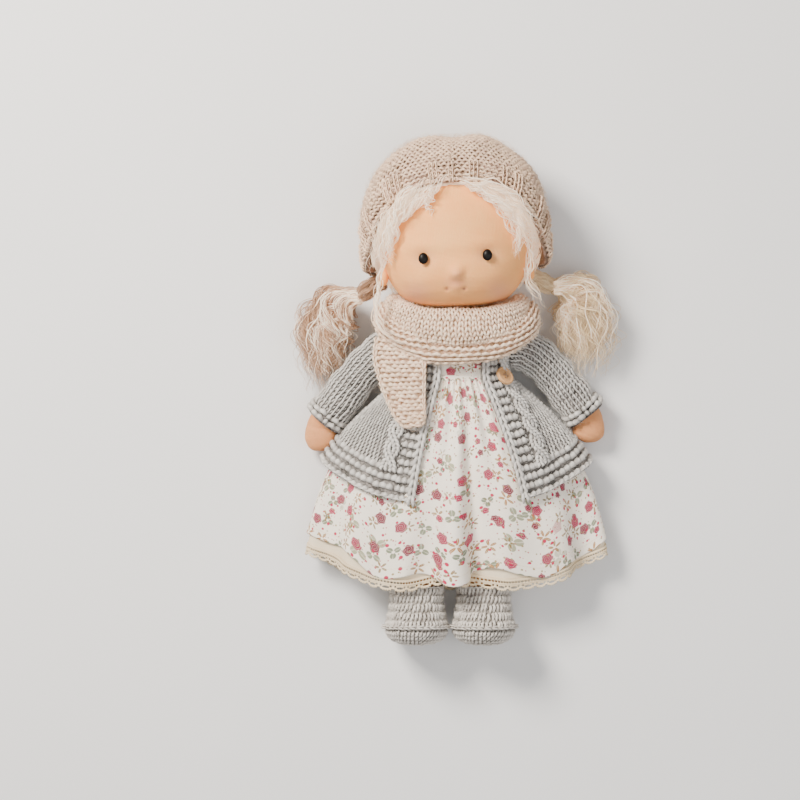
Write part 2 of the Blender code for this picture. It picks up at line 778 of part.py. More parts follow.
def make_thread(doll, looks, place, dish_z):
    """Two crossed stitches over the button's holes, the second one laid over the first."""
    reach = BUTTON_HOLE_OFFSET + BUTTON_HOLE_RADIUS / 2
    low = place + Vector((0, 0, dish_z + FIT + THREAD_RADIUS))
    high = low + Vector((0, 0, THREAD_RADIUS / 2))
    first = rod_mesh(
        "button_thread",
        low + Vector((-reach, -reach, 0)),
        low + Vector((reach, reach, 0)),
        THREAD_RADIUS,
        THREAD_SEGMENTS,
    )
    second = rod_mesh(
        "stitch",
        high + Vector((-reach, reach, 0)),
        high + Vector((reach, -reach, 0)),
        THREAD_RADIUS,
        THREAD_SEGMENTS,
    )
    thread = doll.piece("button_thread", first, "button", looks["thread"])
    boolean(thread, doll.cutter("second_stitch", second, "button"), "UNION")


def wrap_rings(half_width, front_y, side_y, back_y, front_z, half_height):
    """One closed turn of the scarf, low in front and tucked behind the neck."""
    rings = []
    for step in range(SCARF_AROUND):
        angle = math.tau * step / SCARF_AROUND
        sine, cosine = math.sin(angle), math.cos(angle)
        if cosine > 0:
            y = mix(side_y, front_y, cosine)
            z = mix(WRAP_MID_Z, front_z, cosine**WRAP_RISE_POWER)
            height = mix(SCARF_SIDE_HALF_HEIGHT, half_height, cosine)
            thick = SCARF_HALF_WALL
        else:
            y = mix(side_y, back_y, math.sqrt(-cosine))
            z = mix(WRAP_MID_Z, SCARF_BACK_Z, -cosine)
            height = mix(SCARF_SIDE_HALF_HEIGHT, SCARF_BACK_HALF_HEIGHT, -cosine)
            thick = mix(SCARF_HALF_WALL, SCARF_BACK_HALF_WALL, -cosine)
        centre = Vector((half_width * sine, y, z))
        outward = Vector((half_width * sine, 0, z - WRAP_MID_Z)).normalized()
        ring = []
        for number in range(SCARF_SEGMENTS):
            turn = math.tau * number / SCARF_SEGMENTS
            reach = outward * thick * math.cos(turn)
            ring.append(centre + reach + Vector((0, height * math.sin(turn), 0)))
        rings.append(ring)
    return rings


def make_scarf(doll, looks):
    upper = wrap_rings(
        UPPER_WRAP_HALF_WIDTH,
        UPPER_WRAP_FRONT_Y,
        UPPER_WRAP_SIDE_Y,
        UPPER_WRAP_BACK_Y,
        UPPER_WRAP_FRONT_Z,
        UPPER_WRAP_HALF_HEIGHT,
    )
    lower = wrap_rings(
        LOWER_WRAP_HALF_WIDTH,
        LOWER_WRAP_FRONT_Y,
        LOWER_WRAP_SIDE_Y,
        LOWER_WRAP_BACK_Y,
        LOWER_WRAP_FRONT_Z,
        LOWER_WRAP_HALF_HEIGHT,
    )
    tail = []
    for outer, inner in zip(TAIL_OUTER_EDGE, TAIL_INNER_EDGE):
        outer, inner = Vector(outer), Vector(inner)
        lift = Vector((inner.z - outer.z, 0, outer.x - inner.x)).normalized() * TAIL_HALF_WALL
        lift = lift if lift.z > 0 else -lift
        tail.append([outer + lift, inner + lift, inner - lift, outer - lift])
    scarf = doll.piece("scarf", loft("scarf", upper, looped=True), "body", looks["oatmeal"])
    second = doll.cutter("scarf_second_wrap", loft("second_wrap", lower, looped=True), "body")
    hanging = doll.cutter("scarf_end", loft("scarf_end", tail, "flat", "flat"), "body")
    boolean(scarf, second, "UNION")
    boolean(scarf, hanging, "UNION")


def make_neck(doll, looks):
    middle = doll.pivots["neck"]
    halves = Vector((1, 1, 1)) * NECK_BALL_RADIUS
    ball = ball_mesh("neck_roll", middle, halves, NECK_SEGMENTS)
    doll.piece("neck_roll", ball, "neck", looks["wool"])
    reach = NECK_BALL_RADIUS + 2 * FIT + NECK_STRING_WIRE_RADIUS
    ring_radius = math.sqrt(reach**2 - NECK_STRING_DROP**2)
    rings = []
    for step in range(NECK_SEGMENTS):
        angle = math.tau * step / NECK_SEGMENTS
        outward = Vector((math.sin(angle), 0, math.cos(angle)))
        centre = middle + outward * ring_radius - Vector((0, NECK_STRING_DROP, 0))
        ring = []
        for number in range(STRING_SIDES):
            turn = math.tau * number / STRING_SIDES
            lift = outward * math.cos(turn) + Vector((0, math.sin(turn), 0))
            ring.append(centre + lift * NECK_STRING_WIRE_RADIUS)
        rings.append(ring)
    string = loft("neck_string", rings, looped=True)
    doll.piece("neck_string", string, "head", looks["wool"])


def head_place(up, angle, straight=False):
    """A place on the head. A straight head keeps its widest section below its middle."""
    read_at = max(up, HEAD_WIDEST_SHARE) if straight else up
    width, back, front = read_table(HEAD_SHARES, read_at)
    half = (front - back) * HEAD_DEPTH / 2
    middle = HEAD_BACK_Z + (front + back) * HEAD_DEPTH / 2
    x = NECK_X + width * HEAD_HALF_WIDTH * math.sin(angle)
    return Vector((x, HEAD_BOTTOM_Y + up * HEAD_HEIGHT, middle + half * math.cos(angle)))


def head_point(up, angle, grow=0.0, straight=False):
    """A point off the head's surface by a layer, and the surface's way out there."""
    def place(way, turn):
        return head_place(min(max(way, 0.0), 1.0), turn, straight)

    point, outward = off_surface(place, up, angle, grow)
    if up > HEAD_SHARES[-2][0]:
        outward = Vector((0, 1, 0))
        point = head_place(1.0, 0.0) + outward * grow
    else:
        outward = -outward
        point = place(up, angle) + outward * grow
    return point, outward


def head_row(up, grow=0.0, straight=False):
    turns = [math.tau * number / HEAD_SEGMENTS for number in range(HEAD_SEGMENTS)]
    if callable(grow):
        return [head_point(up, turn, grow(turn), straight)[0] for turn in turns]
    return [head_point(up, turn, grow, straight)[0] for turn in turns]


def make_head(doll, looks):
    rings = []
    for row in HEAD_SHARES[-2::-1]:
        rings.append(head_row(row[0]))
        if row[0] == NOSE_SHARE:
            rings[-1][0] = rings[-1][0] + Vector((0, 0, NOSE_HEIGHT))
    crown = head_point(1.0, 0.0)[0]
    skin = doll.piece("head_skin", loft("head_skin", rings, first=crown), "head", looks["peach"])
    wall(skin, JERSEY_WALL, outward=False)
    inner = -JERSEY_WALL - LOOSE_FIT
    core_rings = [head_row(row[0], inner)[::2] for row in HEAD_SHARES[-2:2:-1]]
    top = head_point(1.0, 0.0, inner)[0]
    core = doll.piece("head_core", loft("head_core", core_rings, top, "flat"), "head", looks["wool"])
    socket = ball_mesh(
        "neck_socket",
        doll.pivots["neck"],
        Vector((1, 1, 1)) * (NECK_BALL_RADIUS + 2 * FIT),
        SOCKET_SEGMENTS,
    )
    boolean(core, doll.cutter("neck_socket", socket, "head"))


def head_share_at(y):
    return (y - HEAD_BOTTOM_Y) / HEAD_HEIGHT


def seated(doll, name, share, angle, halves, lift, finish):
    """An oval bead on the head, as deep as its last half, that sits on the skin."""
    middle, outward = head_point(share, angle, lift)
    across = Vector((0, 1, 0)).cross(outward).normalized()
    upward = outward.cross(across)
    turn = Matrix((across, upward, outward)).transposed()
    bead = ball_mesh(name, middle, Vector(halves), BEAD_SEGMENTS, turn)
    doll.piece(name, bead, "head", finish)


def make_features(doll, looks):
    for name, side in (("left", -1), ("right", 1)):
        share = head_share_at(EYE_Y)
        width = read_table(HEAD_SHARES, share)[0] * HEAD_HALF_WIDTH
        angle = side * math.asin(EYE_SPACING / 2 / width)
        halves = (EYE_HALF_WIDTH, EYE_HALF_HEIGHT, EYE_HALF_DEPTH)
        lift = EYE_HALF_DEPTH + FIT
        seated(doll, f"eye_{name}", share, angle, halves, lift, looks["eye"])
        halves = (EAR_HALF_DEPTH, EAR_HALF_HEIGHT, EAR_HALF_WIDTH)
        angle = side * math.radians(EAR_ROUND_DEG)
        lift = EAR_HALF_WIDTH + 2 * FIT
        seated(doll, f"ear_{name}", EAR_UP_SHARE, angle, halves, lift, looks["peach"])


def hair_depth(angle):
    return mix(HAIR_BACK_WALL, HAIR_SIDE_WALL, abs(math.sin(angle)))


def slope_cutter(doll, name, brow_y, opening_deg):
    """All that lies below and before a sloping plane over the brow."""
    reach = 2 * HEAD_HEIGHT
    block = box_mesh(name, (-reach, -reach, -reach), (reach, 0, reach))
    block.transform(Matrix.Rotation(math.radians(-opening_deg), 4, "X"))
    block.transform(Matrix.Translation((0, brow_y, BROW_Z)))
    return doll.cutter(name, block, "head")


def make_hair(doll, looks):
    rows = [row[0] for row in HEAD_SHARES[-2::-1] if row[0] >= HAIR_NAPE_SHARE]
    outer = [head_row(up, lambda turn: LOOSE_FIT + hair_depth(turn)) for up in rows]
    inner = [head_row(up, LOOSE_FIT) for up in rows]
    outer_top = head_point(1.0, 0.0, LOOSE_FIT + HAIR_BACK_WALL)[0]
    inner_top = head_point(1.0, 0.0, LOOSE_FIT)[0]
    mesh = loft("hair_cap", outer + inner[::-1], first=outer_top, last=inner_top)
    cap = doll.piece("hair_cap", mesh, "head", looks["hair"])
    boolean(cap, slope_cutter(doll, "hairline", HAIR_BROW_Y, HAIR_OPENING_DEG))
    for name, places, side in (("left", FRINGE_LEFT, -1), ("right", FRINGE_RIGHT, 1)):
        rings = []
        spots = [head_point(up, side * math.radians(turn)) for up, turn in places]
        for number, (spot, outward) in enumerate(spots):
            before = spots[max(number - 1, 0)][0]
            after = spots[min(number + 1, len(spots) - 1)][0]
            along = (after - before).normalized()
            across = outward.cross(along).normalized()
            width = FRINGE_HALF_WIDTH * FRINGE_WIDTH_SHARES[number]
            lift = FRINGE_HALF_WALL + LOOSE_FIT
            ring = []
            for step in range(FRINGE_SEGMENTS):
                turn = math.tau * step / FRINGE_SEGMENTS
                reach = outward * (lift + FRINGE_HALF_WALL * math.cos(turn))
                ring.append(spot + reach + across * width * math.sin(turn))
            rings.append(ring)
        lock = loft(f"fringe_{name}", rings, "flat", "flat")
        doll.piece(f"fringe_{name}", lock, "head", looks["hair"])


def make_ties(doll, looks):
    """The hair gathered to each side's tie, cut to the head and its hair."""
    grow = LOOSE_FIT + HAIR_SIDE_WALL + FIT
    rings = [head_row(row[0], grow) for row in HEAD_SHARES[-2::-1]]
    solid = loft("head_and_hair", rings, "flat", "flat")
    shape = doll.cutter("head_and_hair", solid, "head")
    for name, bunch in PIGTAILS.items():
        path = [Vector((bunch["side"] * x, y, z)) for x, y, z in TIE_PATH]
        halves = [(TIE_RADIUS, TIE_RADIUS)] * len(path)
        rings = tube_rings(path, halves, BUNCH_SEGMENTS)
        tie = loft(f"hair_tie_{name}", rings, "flat", "flat")
        end = ball_mesh(f"tie_end_{name}", path[-1], Vector((1, 1, 1)) * TIE_RADIUS, BUNCH_SEGMENTS)
        gathered = doll.piece(f"hair_tie_{name}", tie, "head", looks["hair"])
        boolean(gathered, doll.cutter(f"tie_end_{name}", end, "head"), "UNION")
        boolean(gathered, shape)


def make_pigtail(doll, looks, name, bunch):
    path = [Vector(point) for point in bunch["path"]]
    halves = [(radius, radius) for radius in bunch["radii"]]
    rings = tube_rings(path, halves, BUNCH_SEGMENTS)
    end = path[-1] + (path[-1] - path[-2]).normalized() * bunch["radii"][-1] / 2
    mesh = loft(f"pigtail_{name}", rings, "flat", end)
    curls = doll.piece(f"pigtail_{name}", mesh, f"pigtail_{name}", looks["hair"])
    halves = Vector((1, 1, 1)) * (TIE_RADIUS + 2 * FIT)
    hollow = ball_mesh(f"hollow_{name}", path[0], halves, HOLLOW_SEGMENTS)
    boolean(curls, doll.cutter(f"hollow_{name}", hollow, f"pigtail_{name}"))


def make_hat(doll, looks, floor):
    rows = [row[0] for row in HEAD_SHARES[-2::-1] if row[0] > HEAD_WIDEST_SHARE] + [HAT_BACK_SHARE]
    grow = 2 * LOOSE_FIT
    rings = [head_row(up, lambda turn: grow + hair_depth(turn), straight=True) for up in rows]
    top = head_point(1.0, 0.0, grow + HAIR_BACK_WALL)[0]
    hat = doll.piece("hat", loft("hat", rings, first=top), "hat", looks["oatmeal"])
    wall(hat, HAT_WALL)
    boolean(hat, slope_cutter(doll, "hat_opening", HAT_BROW_Y, HAT_OPENING_DEG))
    boolean(hat, floor)


def arm_root(arm):
    """Where the arm meets the torso's side, on the shoulder's axis."""
    half = TORSO_HALF_WIDTH * read_table(TORSO_SHARES, ARM_ROOT_SHARE)[0]
    return Vector((arm["side"] * (half + 2 * FIT), SHOULDER_Y, hip_centre().z))


def sleeve_root(arm):
    layers = FIT + cardigan_grow() + KNIT_WALL + 3 * FIT
    return arm_root(arm) + Vector((arm["side"] * layers, 0, 0))


def sleeve_path(arm):
    """A curve from the shoulder's axis down to the cuff."""
    start = sleeve_root(arm)
    cuff = Vector(arm["cuff"])
    bend = start + Vector((arm["side"] * SLEEVE_BEND, 0, 0))
    reach = cuff - Vector(arm["elbow_way"]) * SLEEVE_REACH
    path = []
    for step in range(ARM_CURVE_STEPS + 1):
        way = step / ARM_CURVE_STEPS
        back = 1 - way
        point = start * back**3 + bend * 3 * back * back * way
        path.append(point + reach * 3 * back * way * way + cuff * way**3)
    return path


def arm_rings(arm, grow, segments):
    """Rings from the shoulder's root, through the wrist, to a mitten of a hand."""
    path = [arm_root(arm)] + sleeve_path(arm)
    halves = []
    for number in range(len(path)):
        size = ARM_ROOT_RADIUS * (1 - ARM_TAPER * max(number - 2, 0) / ARM_CURVE_STEPS) + grow
        halves.append((size, size))
    path += [Vector(point) for point in arm["hand"]]
    depth, width = HAND_HALF_DEPTH + 2 * grow, HAND_HALF_WIDTH + 2 * grow
    halves.append((depth, width))
    halves.append((depth * HAND_TIP_DEPTH_SHARE, width * HAND_TIP_SHARE))
    tip = Vector(arm["tip"])
    tip += (path[-1] - tip).normalized() * 2 * -grow
    return tube_rings(path, halves, segments, Vector((arm["side"], 0, 0))), tip


def make_arm(doll, looks, name, arm):
    body = f"arm_{name}"
    rings, tip = arm_rings(arm, 0.0, ARM_SEGMENTS)
    skin = doll.piece(f"arm_skin_{name}", loft(f"arm_skin_{name}", rings, last=tip), body, looks["peach"])
    wall(skin, JERSEY_WALL, outward=False)
    rings, tip = arm_rings(arm, -JERSEY_WALL - LOOSE_FIT, ARM_SEGMENTS)
    rings = [ring[::2] for ring in rings]
    stuffing = loft(f"arm_stuffing_{name}", rings, "flat", tip)
    doll.piece(f"arm_stuffing_{name}", stuffing, body, looks["wool"])
    path = sleeve_path(arm)
    halves = [(SLEEVE_INNER_RADIUS, SLEEVE_INNER_RADIUS)] * len(path)
    rings = tube_rings(path, halves, ARM_SEGMENTS, Vector((arm["side"], 0, 0)))
    sleeve = doll.piece(f"sleeve_{name}", loft(f"sleeve_{name}", rings), body, looks["cardigan"])
    wall(sleeve, KNIT_WALL)


def leg_ring(leg, y, grow):
    """A leg's section, from the thigh through the ankle to the foot inside its boot."""
    hip = hip_centre()
    down = (LEG_TOP_Y - y) / (LEG_TOP_Y - ANKLE_Y)
    way = min(down, 1.0)
    x_mid = mix(leg["side"] * LEG_HIP_X, leg["boot_x"], way)
    half = THIGH_RADIUS * (1 - LEG_TAPER_SHARE * way)
    z_low = mix(hip.z - half, LEG_BACK_Z, way**LEG_DROP_POWER)
    z_high = z_low + 2 * half
    if y < ANKLE_Y:
        foot = (ANKLE_Y - y) / (ANKLE_Y - LEG_BOTTOM_Y)
        half *= 1 + FOOT_SPREAD_SHARE * foot
        z_high = mix(z_high, BOOT_TOE_Z - CROCHET_WALL - TORSO_BACK_Z, foot)
    return oval(x_mid, y, half, z_low, z_high, LEG_SEGMENTS, grow)


def leg_rings(leg, grow):
    span = LEG_TOP_Y - ANKLE_Y
    places = [LEG_TOP_Y - span * step / 6 for step in range(7)]
    places += [mix(ANKLE_Y, LEG_BOTTOM_Y, 0.5), LEG_BOTTOM_Y - grow]
    return [leg_ring(leg, y, grow) for y in places]


def boot_ring(leg, down, grow):
    width, front, back = read_table(BOOT_SHARES, down)
    y = mix(BOOT_TOP_Y, BOOT_RIDGE_Y, down)
    x_mid = leg["boot_x"]
    half = mix(BOOT_SHAFT_HALF_WIDTH, BOOT_FOOT_HALF_WIDTH, width)
    z_high = mix(BOOT_SHAFT_FRONT_Z, BOOT_TOE_Z, front)
    return oval(x_mid, y, half, back * BOOT_TOP_BACK_Z, z_high, BOOT_SEGMENTS, grow)


def make_leg(doll, looks, name, leg, floor):
    body = f"leg_{name}"
    hip = hip_centre()
    clearance = 4 * FIT
    halves = Vector((TORSO_HALF_WIDTH, TORSO_DEPTH / 2, TORSO_DEPTH / 2)) + Vector((1, 1, 1)) * clearance
    seat = doll.cutter(f"seat_{name}", ball_mesh("seat", hip, halves, SEAT_SEGMENTS), body)
    pivot = doll.pivots[body]
    back = Matrix.Rotation(-leg["side"] * math.radians(SPREAD_LIMIT_DEG), 3, "Z")
    mesh = ball_mesh("seat_when_spread", hip, halves, SEAT_SEGMENTS)
    mesh.transform(Matrix.Translation(-pivot))
    mesh.transform(back.to_4x4())
    mesh.transform(Matrix.Translation(pivot))
    seat_when_spread = doll.cutter(f"seat_when_spread_{name}", mesh, body)
    reach = LOWER_WRAP_HALF_WIDTH
    low = (-reach, HIP_Y - halves.y, hip.z)
    bent = doll.cutter(f"seat_when_bent_{name}", box_mesh("seat_when_bent", low, (reach, 0, 2 * reach)), body)
    skin = doll.piece(
        f"leg_skin_{name}", loft(f"leg_skin_{name}", leg_rings(leg, 0.0), last="flat"), body, looks["peach"]
    )
    wall(skin, JERSEY_WALL, outward=False)
    rings = [ring[::2] for ring in leg_rings(leg, -JERSEY_WALL - LOOSE_FIT)]
    stuffing = doll.piece(
        f"leg_stuffing_{name}", loft(f"leg_stuffing_{name}", rings, "flat", "flat"), body, looks["wool"]
    )
    for piece in (skin, stuffing):
        boolean(piece, seat)
        boolean(piece, seat_when_spread)
        boolean(piece, bent)
    rings = [boot_ring(leg, row[0], 0.0) for row in BOOT_SHARES]
    boot = doll.piece(f"boot_{name}", loft(f"boot_{name}", rings), body, looks["boot"])
    wall(boot, CROCHET_WALL, outward=False)
    boolean(boot, floor)
    ridge = read_table(BOOT_SHARES, 1.0)
    middle_z = (BOOT_TOE_Z + ridge[2] * BOOT_TOP_BACK_Z) / 2
    depth = BOOT_RIDGE_Y - 4 * FIT - BOOT_BOTTOM_Y
    rings = []
    for way, size in SOLE_SHARES:
        half_depth = (BOOT_TOE_Z / 2) * size
        rings.append(
            oval(
                leg["boot_x"],
                BOOT_RIDGE_Y - 4 * FIT - way * depth,
                BOOT_FOOT_HALF_WIDTH * size,
                middle_z - half_depth,
                middle_z + half_depth,
                BOOT_SEGMENTS,
            )
        )
    sole_mesh = loft(f"boot_sole_{name}", rings, "flat", "flat")
    sole = doll.piece(f"boot_sole_{name}", sole_mesh, body, looks["boot"])
    boolean(sole, floor)


def make_bodies(doll):
    hip = hip_centre()
    neck_y = SHOULDER_TOP_Y + FIT + NECK_BALL_RADIUS
    neck = (NECK_X, neck_y, NECK_Z)
    doll.body("body", (0, 0, 0))
    doll.body("neck", neck, "body")
    doll.body("head", neck, "neck", math.radians(HEAD_TILT_DEG))
    doll.body("hat", neck, "head")
    doll.body("lap", hip, "body")
    for name, bunch in PIGTAILS.items():
        doll.body(f"pigtail_{name}", bunch["pivot"], "head")
    for name, arm in ARMS.items():
        doll.body(f"arm_{name}", arm_root(arm), "body")
    for name, leg in LEGS.items():
        pivot = (leg["side"] * LEG_HIP_X, HIP_Y, hip.z)
        doll.body(f"leg_{name}", pivot, "lap")


def make_looks():
    return {
        "linen": material("linen_skin", LINEN, 0.9),
        "peach": material("peach_jersey", PEACH, 0.8),
        "wool": material("wool_stuffing", WOOL_WHITE, 1.0),
        "hair": material("mohair", HAIR_BLOND, 0.7),
        "oatmeal": material("oatmeal_knit", OATMEAL, 0.95),
        "cardigan": material("heather_knit", HEATHER_GREY, 0.95),
        "boot": material("boot_crochet", BOOT_GREY, 0.95),
        "dress": material("dress_cotton", DRESS_CREAM, 0.85),
        "petticoat": material("petticoat_cotton", LACE_CREAM, 0.85),
        "lace": material("cotton_lace", LACE_CREAM, 0.85),
        "eye": material("eye_bead", EYE_BLACK, 0.1),
        "beech": material("beech_button", BEECH, 0.5),
        "thread": material("sewing_thread", THREAD_BROWN, 0.7),
    }


def main():
    clear_scene()
    doll = Doll()
    looks = make_looks()
    make_bodies(doll)
    reach = 2 * HEAD_HEIGHT
    below = box_mesh("floor_cut", (-reach, -reach, -reach), (reach, reach, 0))
    floor = doll.cutter("floor_cut", below, "body")
    armhole = shoulder_bore(doll, "armhole", ARM_ROOT_RADIUS + 2 * FIT)
    make_torso(doll, looks)
    make_bodice(doll, looks, armhole)
    make_cardigan(doll, looks, armhole, floor)
    make_button(doll, looks)
    make_scarf(doll, looks)
    make_neck(doll, looks)
    make_head(doll, looks)
    make_features(doll, looks)
    make_hair(doll, looks)
    make_ties(doll, looks)
    for name, bunch in PIGTAILS.items():
        make_pigtail(doll, looks, name, bunch)
    make_hat(doll, looks, floor)
    for name, arm in ARMS.items():
        make_arm(doll, looks, name, arm)
    make_skirts(doll, looks)
    for name, leg in LEGS.items():
        make_leg(doll, looks, name, leg, floor)


main()
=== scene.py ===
"""Looks of the cloth doll: knitted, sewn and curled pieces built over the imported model."""

import math

import bpy
import numpy as np
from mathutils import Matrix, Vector
from mathutils.bvhtree import BVHTree


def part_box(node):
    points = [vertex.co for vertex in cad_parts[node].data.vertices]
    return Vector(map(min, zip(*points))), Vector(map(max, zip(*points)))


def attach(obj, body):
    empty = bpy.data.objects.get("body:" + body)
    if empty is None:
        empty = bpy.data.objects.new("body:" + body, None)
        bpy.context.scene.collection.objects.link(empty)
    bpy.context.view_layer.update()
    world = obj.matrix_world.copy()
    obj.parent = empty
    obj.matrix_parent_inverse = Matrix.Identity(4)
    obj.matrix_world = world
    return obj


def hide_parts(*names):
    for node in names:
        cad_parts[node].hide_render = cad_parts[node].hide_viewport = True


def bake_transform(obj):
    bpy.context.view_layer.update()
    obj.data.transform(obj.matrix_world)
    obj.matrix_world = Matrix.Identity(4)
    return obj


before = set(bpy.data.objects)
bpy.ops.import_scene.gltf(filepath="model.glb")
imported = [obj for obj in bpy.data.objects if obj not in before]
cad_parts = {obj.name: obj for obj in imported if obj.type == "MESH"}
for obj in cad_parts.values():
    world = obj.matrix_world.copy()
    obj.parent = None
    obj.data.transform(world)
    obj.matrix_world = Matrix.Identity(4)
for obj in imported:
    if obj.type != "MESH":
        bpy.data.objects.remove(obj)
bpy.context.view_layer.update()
RNG = np.random.default_rng(7)
TAU = math.tau

# Numbers from the model
TORSO_HALF_WIDTH, TORSO_DEPTH, TORSO_BACK_Z = 0.04, 0.054, 0.0070
SHOULDER_TOP_Y, HIP_Y, WAIST_Y = 0.0515, -0.045, 0.010
TORSO = np.array([
    (0.0, 0.30, 0.33, 0.75), (0.016, 0.50, 0.24, 0.83), (0.057, 0.72, 0.155, 0.895), (0.119, 0.875, 0.08, 0.95),
    (0.20, 0.93, 0.035, 0.98), (0.33, 0.94, 0.01, 0.99), (0.43, 0.93, 0.0, 0.99), (0.64, 0.95, 0.0, 0.99),
    (0.84, 0.99, 0.0, 1.0), (1.0, 1.0, 0.0, 1.0)])
HEAD_PIVOT = np.array((0.001, 0.0658, 0.038))
HEAD_TILT = math.radians(2.6)
HEAD_HALF_WIDTH, HEAD_HEIGHT, HEAD_DEPTH = 0.060, 0.125, 0.104
HEAD_BACK_Z, HEAD_BOTTOM_Y, NECK_X = 0.0083, 0.064, 0.001
HEAD = np.array([
    (0.0, 0.27, 0.127, 0.444), (0.015, 0.45, 0.11, 0.62), (0.05, 0.62, 0.085, 0.78), (0.11, 0.76, 0.06, 0.885),
    (0.185, 0.865, 0.035, 0.95), (0.231, 0.91, 0.025, 0.968), (0.28, 0.945, 0.015, 0.985), (0.37, 0.985, 0.003, 1.0),
    (0.46, 1.0, 0.0, 1.0), (0.56, 1.0, 0.0, 0.995), (0.65, 0.975, 0.012, 0.975), (0.74, 0.91, 0.04, 0.935),
    (0.82, 0.815, 0.085, 0.88), (0.89, 0.68, 0.15, 0.805), (0.945, 0.50, 0.235, 0.715), (0.98, 0.31, 0.33, 0.62),
    (1.0, 0.0, 0.475, 0.475)])
SCALE = 0.000784
FLOOR_GAP = 0.0002


def px(x, y):
    """Metres in the frame of a pixel of the photograph, in the plane of the doll."""
    return (np.asarray(x, float) - 457) * SCALE, (392 - np.asarray(y, float)) * SCALE


CAMERA_HEIGHT = 3.0
CAMERA_X, CAMERA_Y = -0.0447, -0.0063
PLANE_HEIGHT = 0.045
FACE_HEIGHT = 0.109


def seen(x, y, height=FACE_HEIGHT):
    """A pixel of the photograph, carried along its line of sight to a height above the table."""
    mx, my = px(x, y)
    share = (CAMERA_HEIGHT - height) / (CAMERA_HEIGHT - PLANE_HEIGHT)
    return CAMERA_X + (mx - CAMERA_X) * share, CAMERA_Y + (my - CAMERA_Y) * share


# Mesh helpers
def unit(v):
    return v / np.maximum(np.linalg.norm(v, axis=-1, keepdims=True), 1e-12)


def spline(points, count):
    """A smooth curve through points, sampled evenly by its own parameter."""
    p = np.asarray(points, float)
    step = np.linalg.norm(np.diff(p, axis=0), axis=1) ** 0.5
    t = np.concatenate([[0], np.cumsum(step)])
    m = np.empty_like(p)
    m[1:-1] = ((p[1:-1] - p[:-2]) / np.diff(t)[:-1, None] * np.diff(t)[1:, None]
               + (p[2:] - p[1:-1]) / np.diff(t)[1:, None] * np.diff(t)[:-1, None]) / (t[2:] - t[:-2])[:, None]
    m[0] = (p[1] - p[0]) / (t[1] - t[0])
    m[-1] = (p[-1] - p[-2]) / (t[-1] - t[-2])
    s = np.linspace(0, t[-1], count)
    i = np.clip(np.searchsorted(t, s, "right") - 1, 0, len(t) - 2)
    h = (t[i + 1] - t[i])[:, None]
    w = (s - t[i])[:, None] / h
    return ((2 * w**3 - 3 * w**2 + 1) * p[i] + (w**3 - 2 * w**2 + w) * h * m[i]
            + (-2 * w**3 + 3 * w**2) * p[i + 1] + (w**3 - w**2) * h * m[i + 1])


def build(name, co, faces, material, smooth=True, attributes=None, uv=None):
    """An object from arrays of points and faces, with values on its points."""
    groups = [np.asarray(g) for g in (faces if isinstance(faces, list) else [faces]) if len(g)]
    co = np.array(co, float)
    co[:, 2] = np.maximum(co[:, 2], FLOOR_GAP)
    mesh = bpy.data.meshes.new(name)
    mesh.vertices.add(len(co))
    mesh.vertices.foreach_set("co", np.asarray(co, np.float32).ravel())
    loops = np.concatenate([g.ravel() for g in groups]).astype(np.int32)
    sizes = np.concatenate([np.full(len(g), g.shape[1]) for g in groups])
    mesh.loops.add(len(loops))
    mesh.loops.foreach_set("vertex_index", loops)
    mesh.polygons.add(len(sizes))
    mesh.polygons.foreach_set("loop_start", (np.cumsum(sizes) - sizes).astype(np.int32))
    mesh.update(calc_edges=True)
    for key, values in (attributes or {}).items():
        spot = mesh.attributes.new(key, "FLOAT", "POINT")
        spot.data.foreach_set("value", np.asarray(values, np.float32))
    if uv is not None:
        layer = mesh.uv_layers.new(name="UVMap")
        layer.data.foreach_set("uv", np.asarray(uv, np.float32)[loops].ravel())
    mesh.polygons.foreach_set("use_smooth", np.full(len(sizes), smooth))
    mesh.materials.append(material)
    made = bpy.data.objects.new(name, mesh)
    bpy.context.scene.collection.objects.link(made)
    return made


def grid_faces(rows, columns, wrap=False):
    """Quads of a grid of points, rows by columns. A wrapped grid closes across its columns."""
    r = np.arange(rows - 1)[:, None] * columns
    c = np.arange(columns if wrap else columns - 1)[None, :]
    n = (c + 1) % columns
    return np.stack([r + c, r + n, r + columns + n, r + columns + c], -1).reshape(-1, 4)


def tubes(paths, radii, sides=4, up=(0.0, 0.0, 1.0), flat=1.0):
    """Many tubes at once along paths of equal length."""
    paths = np.asarray(paths, float)
    count, steps, _ = paths.shape
    radii = np.broadcast_to(np.asarray(radii, float), (count, steps)) if np.ndim(radii) < 2 else radii
    along = unit(np.gradient(paths, axis=1))
    ref = np.broadcast_to(np.asarray(up, float), (count, 3)) if np.ndim(up) == 1 else up
    lift = np.empty_like(paths)
    last = unit(ref - along[:, 0] * np.sum(ref * along[:, 0], -1, keepdims=True) + 1e-6)
    for k in range(steps):
        last = unit(last - along[:, k] * np.sum(last * along[:, k], -1, keepdims=True))
        lift[:, k] = last
    side = np.cross(along, lift)
    turn = TAU * np.arange(sides) / sides
    co = paths[:, :, None] + radii[:, :, None, None] * (
        flat * np.cos(turn)[:, None] * lift[:, :, None] + np.sin(turn)[:, None] * side[:, :, None])
    one = grid_faces(steps, sides, wrap=True)
    faces = (np.arange(count) * steps * sides)[:, None, None] + one[None]
    return co.reshape(-1, 3), faces.reshape(-1, 4), steps * sides


def instances(template, faces, origin, across, along, out):
    """A template mesh laid out once for each frame, stretched to the frame's own sides."""
    axes = np.stack([across, along, out], 1)
    co = origin[:, None] + np.einsum("kj,njc->nkc", template, axes)
    made = (np.arange(len(origin)) * len(template))[:, None, None] + faces[None]
    return co.reshape(-1, 3), made.reshape(-1, faces.shape[1])


